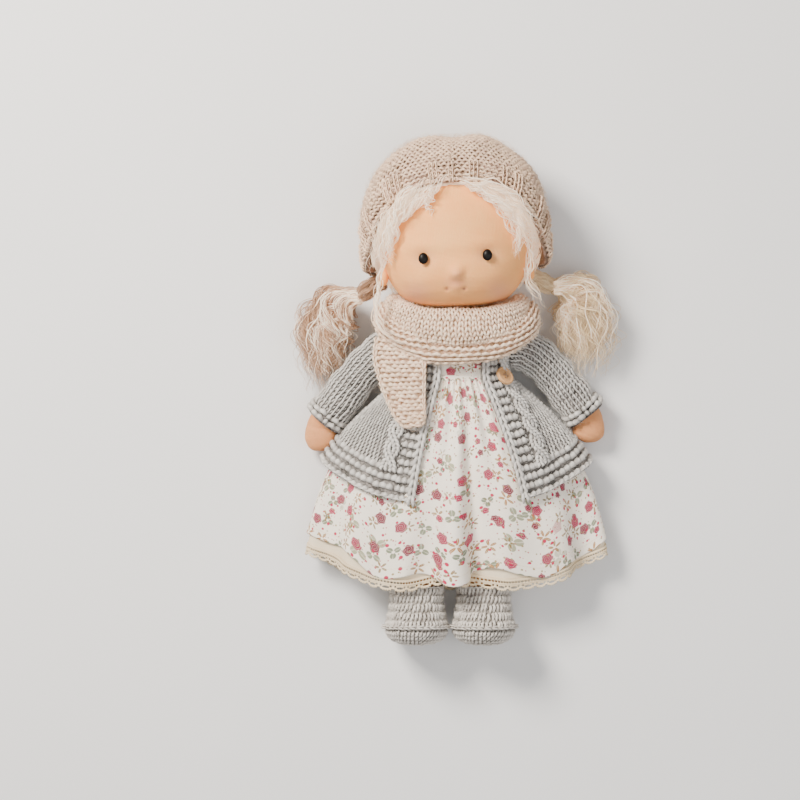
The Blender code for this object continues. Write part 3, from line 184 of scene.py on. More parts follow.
class Surface:
    """A surface through a grid of points, read anywhere by u along its columns and v down its rows."""

    def __init__(self, grid, wrap=False):
        self.grid = np.asarray(grid, float)
        self.wrap = wrap

    def at(self, u, v):
        rows, columns, _ = self.grid.shape
        u, v = np.broadcast_arrays(np.asarray(u, float), np.asarray(v, float))
        y = np.clip(v, 0, 1) * (rows - 1)
        if self.wrap:
            x = (u % 1.0) * columns
        else:
            x = np.clip(u, 0, 1) * (columns - 1)
        i = np.clip(np.floor(y).astype(int), 0, rows - 2)
        j = np.floor(x).astype(int)
        j = j % columns if self.wrap else np.clip(j, 0, columns - 2)
        n = (j + 1) % columns
        a, b = (y - i)[..., None], (x - np.floor(x) if self.wrap else x - j)[..., None]
        g = self.grid
        return (g[i, j] * (1 - a) * (1 - b) + g[i, n] * (1 - a) * b + g[i + 1, j] * a * (1 - b) + g[i + 1, n] * a * b)

    def frames(self, u, v, du, dv, thick, lift=0.0):
        """Where a cell of the surface is, its two sides, and its way out scaled to a thickness."""
        point = self.at(u, v)
        across = self.at(u + du / 2, v) - self.at(u - du / 2, v)
        along = self.at(u, v - dv / 2) - self.at(u, v + dv / 2)
        out = unit(np.cross(across, along))
        lift = np.asarray(lift, float)
        return point + out * (lift[..., None] if lift.ndim else lift), across, along, out * thick


def smooth_grid(grid, times, wrap=False, rows=True, columns=True):
    g = np.array(grid, float)
    for _ in range(times):
        if rows:
            g[1:-1] = g[1:-1] * 0.5 + (g[:-2] + g[2:]) * 0.25
        if columns and wrap:
            g = g * 0.5 + (np.roll(g, 1, 1) + np.roll(g, -1, 1)) * 0.25
        elif columns:
            g[:, 1:-1] = g[:, 1:-1] * 0.5 + (g[:, :-2] + g[:, 2:]) * 0.25
    return g


# Shader helpers
class Value:
    """A socket or number in a node tree, with arithmetic that makes the nodes."""

    def __init__(self, tree, socket):
        self.tree, self.socket = tree, socket

    def _math(self, operation, *others, clamp=False):
        node = self.tree.nodes.new("ShaderNodeMath")
        node.operation = operation
        node.use_clamp = clamp
        for spot, item in zip(node.inputs, (self,) + others):
            if isinstance(item, Value):
                self.tree.links.new(item.socket, spot)
            else:
                spot.default_value = float(item)
        return Value(self.tree, node.outputs[0])

    def __add__(self, other):
        return self._math("ADD", other)

    def __radd__(self, other):
        return self._math("ADD", other)

    def __sub__(self, other):
        return self._math("SUBTRACT", other)

    def __rsub__(self, other):
        return (self * -1.0) + other

    def __mul__(self, other):
        return self._math("MULTIPLY", other)

    def __rmul__(self, other):
        return self._math("MULTIPLY", other)

    def __truediv__(self, other):
        return self._math("DIVIDE", other)

    def clamp(self):
        return self._math("ADD", 0.0, clamp=True)

    def power(self, other):
        return self._math("POWER", other)

    def sine(self):
        return self._math("SINE")

    def cosine(self):
        return self._math("COSINE")

    def absolute(self):
        return self._math("ABSOLUTE")

    def angle(self, x):
        return self._math("ARCTAN2", x)

    def over(self, edge, soft=0.05):
        """0 below an edge and 1 above it, with a soft step."""
        return ((self - (edge - soft)) / (2 * soft)).clamp()

    def under(self, edge, soft=0.05):
        return ((self * -1.0 + (edge + soft)) / (2 * soft)).clamp()


class Look:
    """A material under construction."""

    def __init__(self, name):
        self.material = bpy.data.materials.new(name)
        self.material.use_nodes = True
        self.tree = self.material.node_tree
        self.shader = self.tree.nodes["Principled BSDF"]

    def node(self, kind, **settings):
        made = self.tree.nodes.new(kind)
        for key, value in settings.items():
            setattr(made, key, value)
        return made

    def link(self, a, b):
        self.tree.links.new(a.socket if isinstance(a, Value) else a, b)

    def value(self, socket):
        return Value(self.tree, socket)

    def attribute(self, name):
        return self.value(self.node("ShaderNodeAttribute", attribute_name=name).outputs["Fac"])

    def noise(self, scale, detail=3.0, rough=0.5, vector=None, distort=0.0):
        made = self.node("ShaderNodeTexNoise")
        made.inputs["Scale"].default_value = scale
        made.inputs["Detail"].default_value = detail
        made.inputs["Roughness"].default_value = rough
        made.inputs["Distortion"].default_value = distort
        self.link(vector if vector is not None else self.position(), made.inputs["Vector"])
        return self.value(made.outputs[0])

    def position(self):
        if not hasattr(self, "_position"):
            self._position = self.node("ShaderNodeTexCoord").outputs["Object"]
        return self._position

    def uv(self):
        split = self.node("ShaderNodeSeparateXYZ")
        self.link(self.node("ShaderNodeTexCoord").outputs["UV"], split.inputs[0])
        return self.value(split.outputs[0]), self.value(split.outputs[1])

    def mix(self, share, low, high, mode="MIX"):
        made = self.node("ShaderNodeMix", data_type="RGBA", blend_type=mode)
        if isinstance(share, Value):
            self.link(share, made.inputs[0])
        else:
            made.inputs[0].default_value = share
        for spot, item in ((made.inputs[6], low), (made.inputs[7], high)):
            if isinstance(item, tuple):
                spot.default_value = (*item, 1.0)
            else:
                self.tree.links.new(item, spot)
        return made.outputs[2]

    def bump(self, height, distance, strength=1.0, after=None):
        made = self.node("ShaderNodeBump")
        made.inputs["Distance"].default_value = distance
        made.inputs["Strength"].default_value = strength
        self.link(height, made.inputs["Height"])
        if after is not None:
            self.tree.links.new(after, made.inputs["Normal"])
        return made.outputs[0]

    def finish(self, colour, rough=0.8, bump=None, sheen=0.0, sheen_tint=(1, 1, 1), under=0.0, under_tint=None):
        s = self.shader
        if isinstance(colour, tuple):
            s.inputs["Base Color"].default_value = (*colour, 1.0)
        else:
            self.tree.links.new(colour, s.inputs["Base Color"])
        if isinstance(rough, Value):
            self.link(rough, s.inputs["Roughness"])
        else:
            s.inputs["Roughness"].default_value = rough
        if bump is not None:
            self.tree.links.new(bump, s.inputs["Normal"])
        s.inputs["Sheen Weight"].default_value = sheen
        s.inputs["Sheen Roughness"].default_value = 0.5
        s.inputs["Sheen Tint"].default_value = (*sheen_tint, 1.0)
        if under:
            s.inputs["Subsurface Weight"].default_value = under
            s.inputs["Subsurface Radius"].default_value = under_tint or (1.0, 0.5, 0.3)
            s.inputs["Subsurface Scale"].default_value = 0.003
        return self.material


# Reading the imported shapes
TREES = {}


def tree_of(name):
    if name not in TREES:
        mesh = bpy.data.objects[name].data
        mesh.calc_loop_triangles()
        TREES[name] = BVHTree.FromPolygons([v.co[:] for v in mesh.vertices],
                                           [t.vertices[:] for t in mesh.loop_triangles])
    return TREES[name]


def reach(name, centre, way, far=0.2):
    """Where a ray that comes in from outside first meets a node, or None before the centre."""
    start = Vector(centre) + Vector(way) * far
    hit = tree_of(name).ray_cast(start, -Vector(way), far)
    return None if hit[0] is None else np.array(hit[0])


def tilt(co):
    """From the head's upright frame to the way it lies."""
    co = np.asarray(co, float)
    c, s = math.cos(HEAD_TILT), math.sin(HEAD_TILT)
    x, y = co[..., 0] - HEAD_PIVOT[0], co[..., 1] - HEAD_PIVOT[1]
    return np.stack([HEAD_PIVOT[0] + c * x - s * y, HEAD_PIVOT[1] + s * x + c * y, co[..., 2]], -1)


def upright(x, y):
    """A pixel of the photograph in the head's upright frame."""
    mx, my = seen(x, y)
    c, s = math.cos(-HEAD_TILT), math.sin(-HEAD_TILT)
    dx, dy = mx - HEAD_PIVOT[0], my - HEAD_PIVOT[1]
    return HEAD_PIVOT[0] + c * dx - s * dy, HEAD_PIVOT[1] + s * dx + c * dy


def shares(table, at):
    return [np.interp(at, table[:, 0], table[:, k]) for k in (1, 2, 3)]


def torso_at(down, angle, grow=0.0):
    width, back, front = shares(TORSO, down)
    back, front = back * TORSO_DEPTH - grow, front * TORSO_DEPTH + grow
    return np.stack([(width * TORSO_HALF_WIDTH + grow) * np.sin(angle),
                     SHOULDER_TOP_Y + (HIP_Y - SHOULDER_TOP_Y) * down + 0 * angle,
                     TORSO_BACK_Z + (front + back) / 2 + (front - back) / 2 * np.cos(angle)], -1)


def head_at(up, angle, grow=0.0):
    width, back, front = shares(HEAD, up)
    back, front = back * HEAD_DEPTH - grow, front * HEAD_DEPTH + grow
    return tilt(np.stack([NECK_X + (width * HEAD_HALF_WIDTH + grow) * np.sin(angle),
                          HEAD_BOTTOM_Y + HEAD_HEIGHT * up + 0 * angle,
                          HEAD_BACK_Z + (front + back) / 2 + (front - back) / 2 * np.cos(angle)], -1))


def skirt_at(down, angle, grow=0.0, fold_size=0.0038):
    side = np.abs(np.sin(angle)) ** 3
    c = np.cos(angle)
    share = np.where(c > 0, np.minimum(1, 0.2 + 2 * c), 0.2 * np.maximum(0, 1 + 3 * c))
    fold = fold_size * down**2 * np.cos(10 * angle) * share
    rings = [(0.93 * TORSO_HALF_WIDTH + 0.0003, 0.010 + 0 * side, TORSO_BACK_Z + 0.99 * TORSO_DEPTH + 0.0003, 0.034,
              0.0036),
             (0.104, -0.062 + 0.022 * side, 0.072, 0.014, 0.0036),
             (0.1155, -0.1455 + 0.036 * side, 0.0555, 0.0095, 0.0017)]
    w = [(1 - down) ** 2, 2 * down * (1 - down), down**2]
    half, y, front, mid, back = [sum(a * r[k] for a, r in zip(w, rings)) for k in range(5)]
    reach_z = np.where(c > 0, front - mid, mid - back)
    return np.stack([(half + fold + 3 * grow) * np.sin(angle), y, mid + (reach_z + fold + grow) * c], -1)


# Stitches
def template(path, radius, sides=5, flat=1.0):
    co, faces, _ = tubes([path], np.asarray([radius]), sides=sides, flat=flat)
    return co, faces


def joined(*parts):
    co, faces, base = [], [], 0
    for c, f in parts:
        co.append(c)
        faces.append(f + base)
        base += len(c)
    return np.concatenate(co), np.concatenate(faces)


PURL = template([(-0.66, -0.30, -0.25), (-0.42, 0.02, 0.22), (0.0, 0.24, 0.42), (0.42, 0.02, 0.22), (0.66, -0.30, -0.25)],
                [0.15, 0.25, 0.29, 0.25, 0.15])
BEAD = template([(-0.62, -0.28, -0.25), (-0.40, 0.02, 0.22), (0.0, 0.20, 0.42), (0.40, 0.02, 0.22), (0.62, -0.28, -0.25)],
                [0.20, 0.33, 0.38, 0.33, 0.20], sides=6)
LEG = [(-0.04, -0.70, -0.30), (-0.17, -0.28, 0.20), (-0.33, 0.22, 0.34), (-0.30, 0.66, -0.20)]
KNIT = joined(template(LEG, [0.12, 0.21, 0.235, 0.13]),
              template([(-x, y, z) for x, y, z in LEG], [0.12, 0.21, 0.235, 0.13]))
WALE = joined(template([(-0.27, -0.78, -0.1), (-0.33, -0.26, 0.30), (-0.35, 0.26, 0.36), (-0.30, 0.78, 0.05)],
                       [0.15, 0.19, 0.20, 0.15]),
              template([(-0.02, -0.50, -0.40), (0.06, -0.18, 0.05), (0.24, 0.16, 0.16), (0.38, 0.40, -0.30)],
                       [0.12, 0.17, 0.18, 0.12]))
BUMP = template([(-0.42, -0.14, -0.46), (-0.33, 0.02, 0.10), (0.0, 0.12, 0.42), (0.33, 0.02, 0.10), (0.42, -0.14, -0.46)],
                [0.24, 0.34, 0.41, 0.34, 0.24], sides=7)
TREBLE = joined(template([(-0.34, -0.56, -0.25), (-0.20, -0.2, 0.26), (0.08, 0.2, 0.38), (0.34, 0.54, 0.05)],
                         [0.20, 0.28, 0.30, 0.20]),
                template([(0.34, -0.12, 0.22), (0.14, 0.05, 0.52), (-0.12, 0.22, 0.54), (-0.30, 0.34, 0.30)],
                         [0.10, 0.14, 0.14, 0.10]))


def cells(surface, rows, high, pitch, edge=(0.0, 1.0), stagger=False, wrap=False):
    """Cell places along rows of a surface, each row with its own whole number of stitches."""
    found = []
    for k, v in enumerate(rows):
        u = np.linspace(edge[0], edge[1], 500)
        length = np.concatenate([[0], np.cumsum(np.linalg.norm(np.diff(surface.at(u, v), axis=0), axis=1))])
        count = max(3, int(round(length[-1] / pitch)))
        shift = 0.5 * (k % 2) if stagger else 0.0
        s = (np.arange(count) + (shift if wrap else 0.5 + (shift - 0.25 if stagger else 0))) / count
        here = np.interp(s * length[-1], length, u)
        step = np.interp((s + 0.5 / count) * length[-1], length, u) - np.interp((s - 0.5 / count) * length[-1], length, u)
        step = np.where(step > 0, step, np.median(step))
        found.append(np.stack([here, np.full(count, v), np.full(count, np.median(step)) * 0 + step,
                               np.full(count, high), np.full(count, float(k))], -1))
    return np.concatenate(found)


def stitches(surface, places, kind, thick, lift=0.0, wide=1.0, tall=1.0, loose=0.05):
    """The stitches of one kind at the cells given, with painted shade: darker low in each stitch and lighter on its
    crest.
    """
    u, v, du, dv, row = places.T
    point, across, along, out = surface.frames(u, v, du, dv, thick, lift)
    swing = RNG.normal(0, loose, (len(u), 3))
    point = point + across * swing[:, :1] + along * swing[:, 1:2]
    co, faces = instances(kind[0], kind[1], point, across * wide, along * tall,
                          out * (1 + RNG.normal(0, 0.08, (len(u), 1))))
    z = kind[0][:, 2]
    # Painted shade: each point's shade rises with its height in the stitch, so the hollows read dark.
    shade = np.clip(0.22 + 0.78 * (z - z.min()) / (z.max() - z.min()), 0, 1)
    shade = shade[None] * (1 + RNG.normal(0, 0.05, (len(u), 1)))
    tint = np.repeat(RNG.random(len(u)), len(kind[0]))
    return co, faces, shade.ravel(), tint


def knitted(name, parts, material):
    """One object from several lots of stitches."""
    co = np.concatenate([p[0] for p in parts])
    base = np.cumsum([0] + [len(p[0]) for p in parts[:-1]])
    faces = [p[1] + b for p, b in zip(parts, base)]
    return build(name, co, faces, material, attributes={
        "shade": np.concatenate([p[2] for p in parts]), "tint": np.concatenate([p[3] for p in parts])})


def fuzz(name, surface, count, length, radius, material, edge=(0.0, 1.0, 0.0, 1.0), lift=0.001):
    """Short stray fibres standing off a knitted face."""
    u = RNG.uniform(edge[0], edge[1], count)
    v = RNG.uniform(edge[2], edge[3], count)
    point, across, along, out = surface.frames(u, v, 0.004, 0.004, 1.0, lift)
    across, along = unit(across), unit(along)
    turn = RNG.uniform(0, TAU, (count, 1))
    way = across * np.cos(turn) + along * np.sin(turn)
    bend = across * np.sin(turn + 1.2) - along * np.cos(turn + 1.2)
    size = length * RNG.uniform(0.5, 1.4, (count, 1))
    t = np.linspace(0, 1, 5)[None, :, None]
    rise = RNG.uniform(0.15, 0.7, (count, 1))
    path = (point[:, None] + (way * size)[:, None] * t + (bend * size * 0.5)[:, None] * t**2
            + (out * size * rise)[:, None] * np.sin(t * 2.6))
    thin = radius * np.linspace(1, 0.4, 5)[None] * np.ones((count, 1))
    co, faces, each = tubes(path, thin, sides=3)
    return build(name, co, faces, material, attributes={
        "shade": np.full(len(co), 1.0), "tint": np.repeat(RNG.random(count), each)})


def shell(name, grid, depth, material, wrap=False, attributes=None, uv_scale=None):
    """A closed wall on a grid of points: the grid outside, and the same set in by a depth."""
    rows, columns, _ = grid.shape
    if wrap:
        across = np.roll(grid, -1, 1) - np.roll(grid, 1, 1)
    else:
        across = np.gradient(grid, axis=1)
    down = np.gradient(grid, axis=0)
    out = unit(np.cross(down, across))
    inner = grid - out * depth
    co = np.concatenate([grid.reshape(-1, 3), inner.reshape(-1, 3)])
    face = grid_faces(rows, columns, wrap)
    base = rows * columns
    sides = [face, (face + base)[:, ::-1]]
    c = np.arange(columns if wrap else columns - 1)
    n = (c + 1) % columns
    last = (rows - 1) * columns
    sides.append(np.stack([c, c + base, n + base, n], -1))
    sides.append(np.stack([last + c, last + n, last + n + base, last + c + base], -1))
    if not wrap:
        r = np.arange(rows - 1) * columns
        sides.append(np.stack([r, r + columns, r + columns + base, r + base], -1))
        e = r + columns - 1
        sides.append(np.stack([e, e + base, e + columns + base, e + columns], -1))
    uv = None
    if uv_scale is not None:
        u, v = np.meshgrid(np.linspace(0, uv_scale[0], columns), np.linspace(0, uv_scale[1], rows))
        one = np.stack([u, v], -1).reshape(-1, 2)
        uv = np.concatenate([one, one])
    made = build(name, co, sides, material, uv=uv,
                 attributes={k: np.tile(np.ravel(v), 2) for k, v in (attributes or {}).items()})
    made.data.validate()
    return made


# Materials
def yarn(name, deep, light, other=None, mottle=0.35, sheen=0.06, fibre=0.0004, rough=0.92):
    """Wool with painted shade: its colour goes from a dark tone in the hollows of the stitches to a lit one on the
    crests.
    """
    look = Look(name)
    shade = look.attribute("shade")
    tint = look.attribute("tint")
    fine = look.noise(1400, 3, 0.7)
    broad = look.noise(55, 3, 0.6)
    # Painted shade: a low shade value darkens the wool in the hollows and a high one lightens it on the crests; tint
    # and mottle are the yarn's own uneven colour.
    level = (shade.power(1.5) * 1.05 + (fine - 0.5) * 0.5 + (tint - 0.5) * 0.16 + (broad - 0.5) * mottle).clamp()
    colour = look.mix(level, deep, light)
    if other:
        flecks = look.noise(260, 2, 0.6).over(0.56, 0.10) * 0.55
        colour = look.mix(flecks, colour, other)
    height = look.noise(2600, 2, 0.6, distort=0.4)
    return look.finish(colour, rough, look.bump(height, fibre, 0.9), sheen=sheen, sheen_tint=light)


def skin(name, base, warm, blush_and_painted_shade=(), darker=0.0):
    """Knitted cotton jersey: fine columns of loops, soft mottling, rubbed-in blush and spots of painted shade."""
    look = Look(name)
    u, v = look.uv()
    zig = (v * 5200.0 + (u * 5200.0).sine() * 0.9).sine()
    ribs = (u * 5200.0).sine()
    loops = (zig * 0.5 + ribs * 0.5 + look.noise(1800, 2, 0.6) * 0.7)
    broad = look.noise(38, 4, 0.55)
    fine = look.noise(420, 3, 0.6)
    level = ((broad - 0.5) * 1.3 + (fine - 0.5) * 0.5 + 0.5 + loops * 0.03).clamp()
    colour = look.mix(level, base, warm)
    split = look.node("ShaderNodeSeparateXYZ")
    look.link(look.position(), split.inputs[0])
    x, y = look.value(split.outputs[0]), look.value(split.outputs[1])
    for cx, cy, wide, high, strength, spot in blush_and_painted_shade:
        dx, dy = (x - cx) / wide, (y - cy) / high
        far = (dx * dx + dy * dy)
        mask = ((far * -1.0)._math("EXPONENT") * strength * (0.75 + fine * 0.5)).clamp()
        colour = look.mix(mask, colour, spot)
    return look.finish(colour, 0.82, look.bump(loops, 0.00012, 0.8), sheen=0.05, sheen_tint=(1.0, 0.80, 0.66),
                       under=0.15, under_tint=(1.0, 0.42, 0.25))


# In each pair, the first colour is what strands in painted shade and darker strands go to, the second what lit and
# paler strands go to.
HAIR_TONES = {"pale": ((0.80, 0.48, 0.26), (1.0, 0.95, 0.83)), "rose": ((0.22, 0.082, 0.034), (0.74, 0.46, 0.28)),
              "gold": ((0.42, 0.20, 0.06), (0.98, 0.80, 0.50))}


def mohair(name, deep, light, painted_glow=0.0):
    """Fine curly hair, some strands darker than others and paler to the tips; the darkness is partly random and partly
    painted shade, and a painted glow lightens it.
    """
    look = Look(name)
    shade, tint = look.attribute("shade"), look.attribute("tint")
    fine = look.noise(700, 2, 0.6)
    level = (shade * 0.55 + tint * 0.5 + (fine - 0.5) * 0.4).clamp()
    colour = look.mix(level, deep, light)
    s = look.shader
    s.inputs["Specular IOR Level"].default_value = 0.5
    # Painted glow: the hair gives off a little warm light of its own, standing in for light through the fine fibres.
    s.inputs["Emission Color"].default_value = (1.0, 0.80, 0.58, 1.0)
    s.inputs["Emission Strength"].default_value = painted_glow
    return look.finish(colour, 0.48, look.bump(fine, 0.0001, 0.4), sheen=0.08, sheen_tint=(1.0, 0.92, 0.8))


# The first colour of each wool is the dark tone that painted shade in the hollows leads to, the second the lit tone of
# the crests; the third is flecks of another yarn.
HAT_WOOL = yarn("oatmeal wool", (0.10, 0.050, 0.032), (0.94, 0.69, 0.48), other=(0.56, 0.36, 0.29), mottle=0.7)
SCARF_WOOL = yarn("beige wool", (0.42, 0.235, 0.130), (1.0, 0.80, 0.60), other=(0.92, 0.62, 0.45), mottle=0.45)
CARDIGAN_WOOL = yarn("heather wool", (0.050, 0.042, 0.036), (0.74, 0.71, 0.66), other=(0.42, 0.37, 0.34), mottle=0.45)
BOOT_WOOL = yarn("pale grey wool", (0.12, 0.098, 0.078), (0.80, 0.75, 0.68), other=(0.50, 0.44, 0.39), mottle=0.4)
HAIR_PALE = mohair("mohair pale", *HAIR_TONES["pale"], painted_glow=0.44)
HAIR_ROSE = mohair("mohair rose", *HAIR_TONES["rose"])
HAIR_GOLD = mohair("mohair gold", *HAIR_TONES["gold"], painted_glow=0.05)

# Face
EYES = (upright(423.3, 258.5), upright(487.4, 255.0))
NOSE = upright(456.0, 272.3)
MOUTH = (upright(447.1, 288.7), upright(464.4, 288.4))


def bell(x, y, spot, wide, high):
    return np.exp(-((x - spot[0]) / wide) ** 2 - ((y - spot[1]) / high) ** 2)


def head_shape():
    rows, columns = 300, 340
    up = np.linspace(0.0, 1.0, rows)
    angle = TAU * np.arange(columns) / columns
    c, s = math.cos(-HEAD_TILT), math.sin(-HEAD_TILT)
    grid = head_at(up[:, None], angle[None, :])
    grid = smooth_grid(grid, 40, wrap=True, columns=False)
    across = np.roll(grid, -1, 1) - np.roll(grid, 1, 1)
    out = unit(np.cross(across, np.gradient(grid, axis=0)))
    dx, dy = grid[..., 0] - HEAD_PIVOT[0], grid[..., 1] - HEAD_PIVOT[1]
    x, y = HEAD_PIVOT[0] + c * dx - s * dy, HEAD_PIVOT[1] + s * dx + c * dy
    front = np.clip(np.cos(angle)[None, :] * 3, 0, 1)
    push = 0.0050 * bell(x, y, NOSE, 0.0056, 0.0046)
    for eye in EYES:
        push -= 0.0016 * bell(x, y, eye, 0.0068, 0.0058)
        push += 0.0008 * bell(x, y, (eye[0], eye[1] + 0.0105), 0.011, 0.0042)
    push -= 0.0010 * bell(x, y, ((EYES[0][0] + EYES[1][0]) / 2, EYES[0][1] + 0.001), 0.030, 0.006)
    for corner in MOUTH:
        push -= 0.0013 * bell(x, y, corner, 0.0018, 0.0015)
    middle = ((MOUTH[0][0] + MOUTH[1][0]) / 2, MOUTH[0][1])
    push += 0.0014 * bell(x, y, (middle[0], middle[1] + 0.0012), 0.0046, 0.0032)
    push += 0.0008 * bell(x, y, (middle[0], middle[1] - 0.0052), 0.0070, 0.0035)
    for side in (-1, 1):
        push += 0.0014 * bell(x, y, (middle[0] + side * 0.029, middle[1] + 0.006), 0.014, 0.013)
        push -= 0.0006 * bell(x, y, (NOSE[0] + side * 0.0075, NOSE[1] - 0.0005), 0.0030, 0.0042)
    grid = grid + out * (push * front)[..., None]
    return grid


head_grid = head_shape()
FACE_TONES = ((0.95, 0.375, 0.100), (1.0, 0.495, 0.170))


def blush_and_shade_spots():
    found = []
    blush = (0.74, 0.30, 0.20)
    # Blush on the cheeks; the darker peach of the muzzle and the nose is blush and painted shade together; dark dots at
    # the mouth corners; the rings round the eyes are painted shade in the sockets.
    for x, y, wide, high, strength, spot in (
            (416, 292, 0.0105, 0.0085, 0.50, blush), (500, 290, 0.0105, 0.0085, 0.50, blush),
            (456, 283, 0.0085, 0.0042, 0.42, (0.68, 0.26, 0.19)), (456, 273, 0.0045, 0.0036, 0.38, (0.72, 0.33, 0.22)),
            (447.1, 288.9, 0.0013, 0.0010, 0.85, (0.27, 0.10, 0.07)), (464.4, 288.6, 0.0013, 0.0010, 0.85, (0.27, 0.10, 0.07)),
            (423.3, 258.5, 0.0085, 0.0062, 0.42, (0.58, 0.29, 0.19)), (487.4, 255, 0.0085, 0.0062, 0.42, (0.58, 0.29, 0.19))):
        mx, my = seen(x, y)
        found.append((float(mx), float(my), wide, high, strength, spot))
    return found


JERSEY = skin("peach jersey", *FACE_TONES, blush_and_painted_shade=blush_and_shade_spots())
HAND_JERSEY = skin("tan jersey", (0.56, 0.215, 0.075), (0.78, 0.35, 0.145))


def closed_loft(name, grid, material, uv_size, attributes=None):
    """A closed skin from rings of points, the first and last ring capped by a point."""
    rows, columns, _ = grid.shape
    co = np.concatenate([grid.reshape(-1, 3), grid[:1].mean(1), grid[-1:].mean(1)])
    body = grid_faces(rows, columns, True)
    c = np.arange(columns)
    n = (c + 1) % columns
    low, top = rows * columns, rows * columns + 1
    last = (rows - 1) * columns
    caps = np.concatenate([np.stack([n, c, np.full(columns, low)], -1),
                           np.stack([last + c, last + n, np.full(columns, top)], -1)])
    u, v = np.meshgrid(np.abs(np.linspace(-1, 1, columns, endpoint=False)) * uv_size[0] / 2,
                       np.linspace(0, uv_size[1], rows))
    uv = np.concatenate([np.stack([u, v], -1).reshape(-1, 2), [[0, 0], [0, uv_size[1]]]])
    made = build(name, co, [body, caps], material, uv=uv, attributes=attributes)
    made.data.validate()
    return made


face = closed_loft("head_jersey", head_grid, JERSEY, (0.36, 0.16))
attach(face, "head")
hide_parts("head_skin", "head_core", "neck_string")

def outward(grid):
    """The grid with its columns in the order that makes its faces look outwards."""
    surface = Surface(grid, wrap=True)
    middle = grid[len(grid) // 2].mean(0)
    point, _, _, out = surface.frames(np.array([0.1]), np.array([0.5]), 0.01, 0.02, 1.0)
    return grid if np.sum(out[0] * (point[0] - middle)) > 0 else grid[:, ::-1]


bead = Look("black glass bead")
flow = bead.noise(300, 2, 0.5)
bead.finish(bead.mix(flow.clamp(), (0.002, 0.0015, 0.0015), (0.006, 0.004, 0.003)), 0.42)
bead.shader.inputs["Coat Weight"].default_value = 0.03
bead.shader.inputs["Specular IOR Level"].default_value = 0.15
for side, (x, y) in (("left", seen(423.3, 258.5)), ("right", seen(487.4, 255.0))):
    node = bpy.data.objects["eye_" + side]
    high = [(node.matrix_world @ v.co).z for v in node.data.vertices]
    theta = np.linspace(0.08, np.pi - 0.08, 24)[:, None]
    phi = TAU * np.arange(40)[None] / 40
    swell = 1 + 0.012 * np.sin(3 * phi + 2 * theta)
    eye = np.array((x, y, (max(high) + min(high)) / 2)) + np.stack([
        0.0038 * swell * np.sin(theta) * np.cos(phi), 0.0044 * swell * np.sin(theta) * np.sin(phi),
        (max(high) - min(high)) / 2 * np.cos(theta) + 0 * phi], -1)
    eye = closed_loft("eye_bead_" + side, outward(eye), bead.material, (0.012, 0.006))
    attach(eye, "head")
    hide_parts("eye_" + side)


def ear(side):
    """A small stuffed ear: a bean with a rim and a thumbed-in hollow."""
    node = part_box("ear_" + side)
    low, high = np.array(node[0]), np.array(node[1])
    middle, half = (low + high) / 2, (high - low) / 2
    sign = -1 if side == "left" else 1
    rows, columns = 40, 64
    theta = np.linspace(0.02, np.pi - 0.02, rows)[:, None]
    phi = TAU * np.arange(columns)[None] / columns
    x = np.sin(theta) * np.cos(phi) * sign
    z = np.sin(theta) * np.sin(phi)
    y = np.cos(theta) + 0 * phi
    deep = np.exp(-((y - 0.05) / 0.42) ** 2 - ((z - 0.15) / 0.5) ** 2) * np.clip(x * sign, 0, 1) ** 0.5
    bulge = 1 + 0.12 * y
    x = x * (1 - 0.62 * deep)
    grid = middle + np.stack([x * half[0] * 1.05, y * half[1] * 1.05, z * half[2] * bulge * 1.05], -1)
    made = closed_loft("ear_jersey_" + side, grid[::-1], JERSEY, (0.03, 0.016))
    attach(made, "head")
    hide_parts("ear_" + side)
    return made


for side in ("left", "right"):
    ear(side)

# Hat
HAT_CENTRE = tilt((NECK_X, 0.1265, 0.060))
HAT_AXIS_TIP = math.radians(36)


def hat_way(theta, phi):
    axis = np.array((0, math.cos(HAT_AXIS_TIP), -math.sin(HAT_AXIS_TIP)))
    front = np.array((0, math.sin(HAT_AXIS_TIP), math.cos(HAT_AXIS_TIP)))
    way = math.cos(theta) * axis + math.sin(theta) * (math.cos(phi) * front + math.sin(phi) * np.array((1.0, 0, 0)))
    return tilt(way + HEAD_PIVOT) - HEAD_PIVOT


def hat_shape():
    columns, rows = 120, 46
    edge = []
    for k in range(columns):
        phi = TAU * k / columns
        low, high = 0.6, 2.9
        for _ in range(14):
            mid = (low + high) / 2
            low, high = (mid, high) if reach("hat", HAT_CENTRE, hat_way(mid, phi)) is not None else (low, mid)
        edge.append(low - 0.012)
    edge = np.array(edge)
    for _ in range(6):
        edge = edge * 0.5 + (np.roll(edge, 1) + np.roll(edge, -1)) * 0.25
    grid = np.empty((rows, columns, 3))
    for j, t in enumerate(np.linspace(0.0, 1.0, rows)):
        for k in range(columns):
            theta = 0.004 + t * (edge[k] - 0.004)
            spot = None
            while spot is None:
                spot = reach("hat", HAT_CENTRE, hat_way(theta, TAU * k / columns))
                theta -= 0.01
            grid[j, k] = spot
    return smooth_grid(grid, 12, wrap=True)


hat_grid = hat_shape()
hat_surface = Surface(hat_grid, wrap=True)


def inset(grid, depth, wrap=False):
    across = (np.roll(grid, -1, 1) - np.roll(grid, 1, 1)) if wrap else np.gradient(grid, axis=1)
    return grid - unit(np.cross(np.gradient(grid, axis=0), across)) * depth


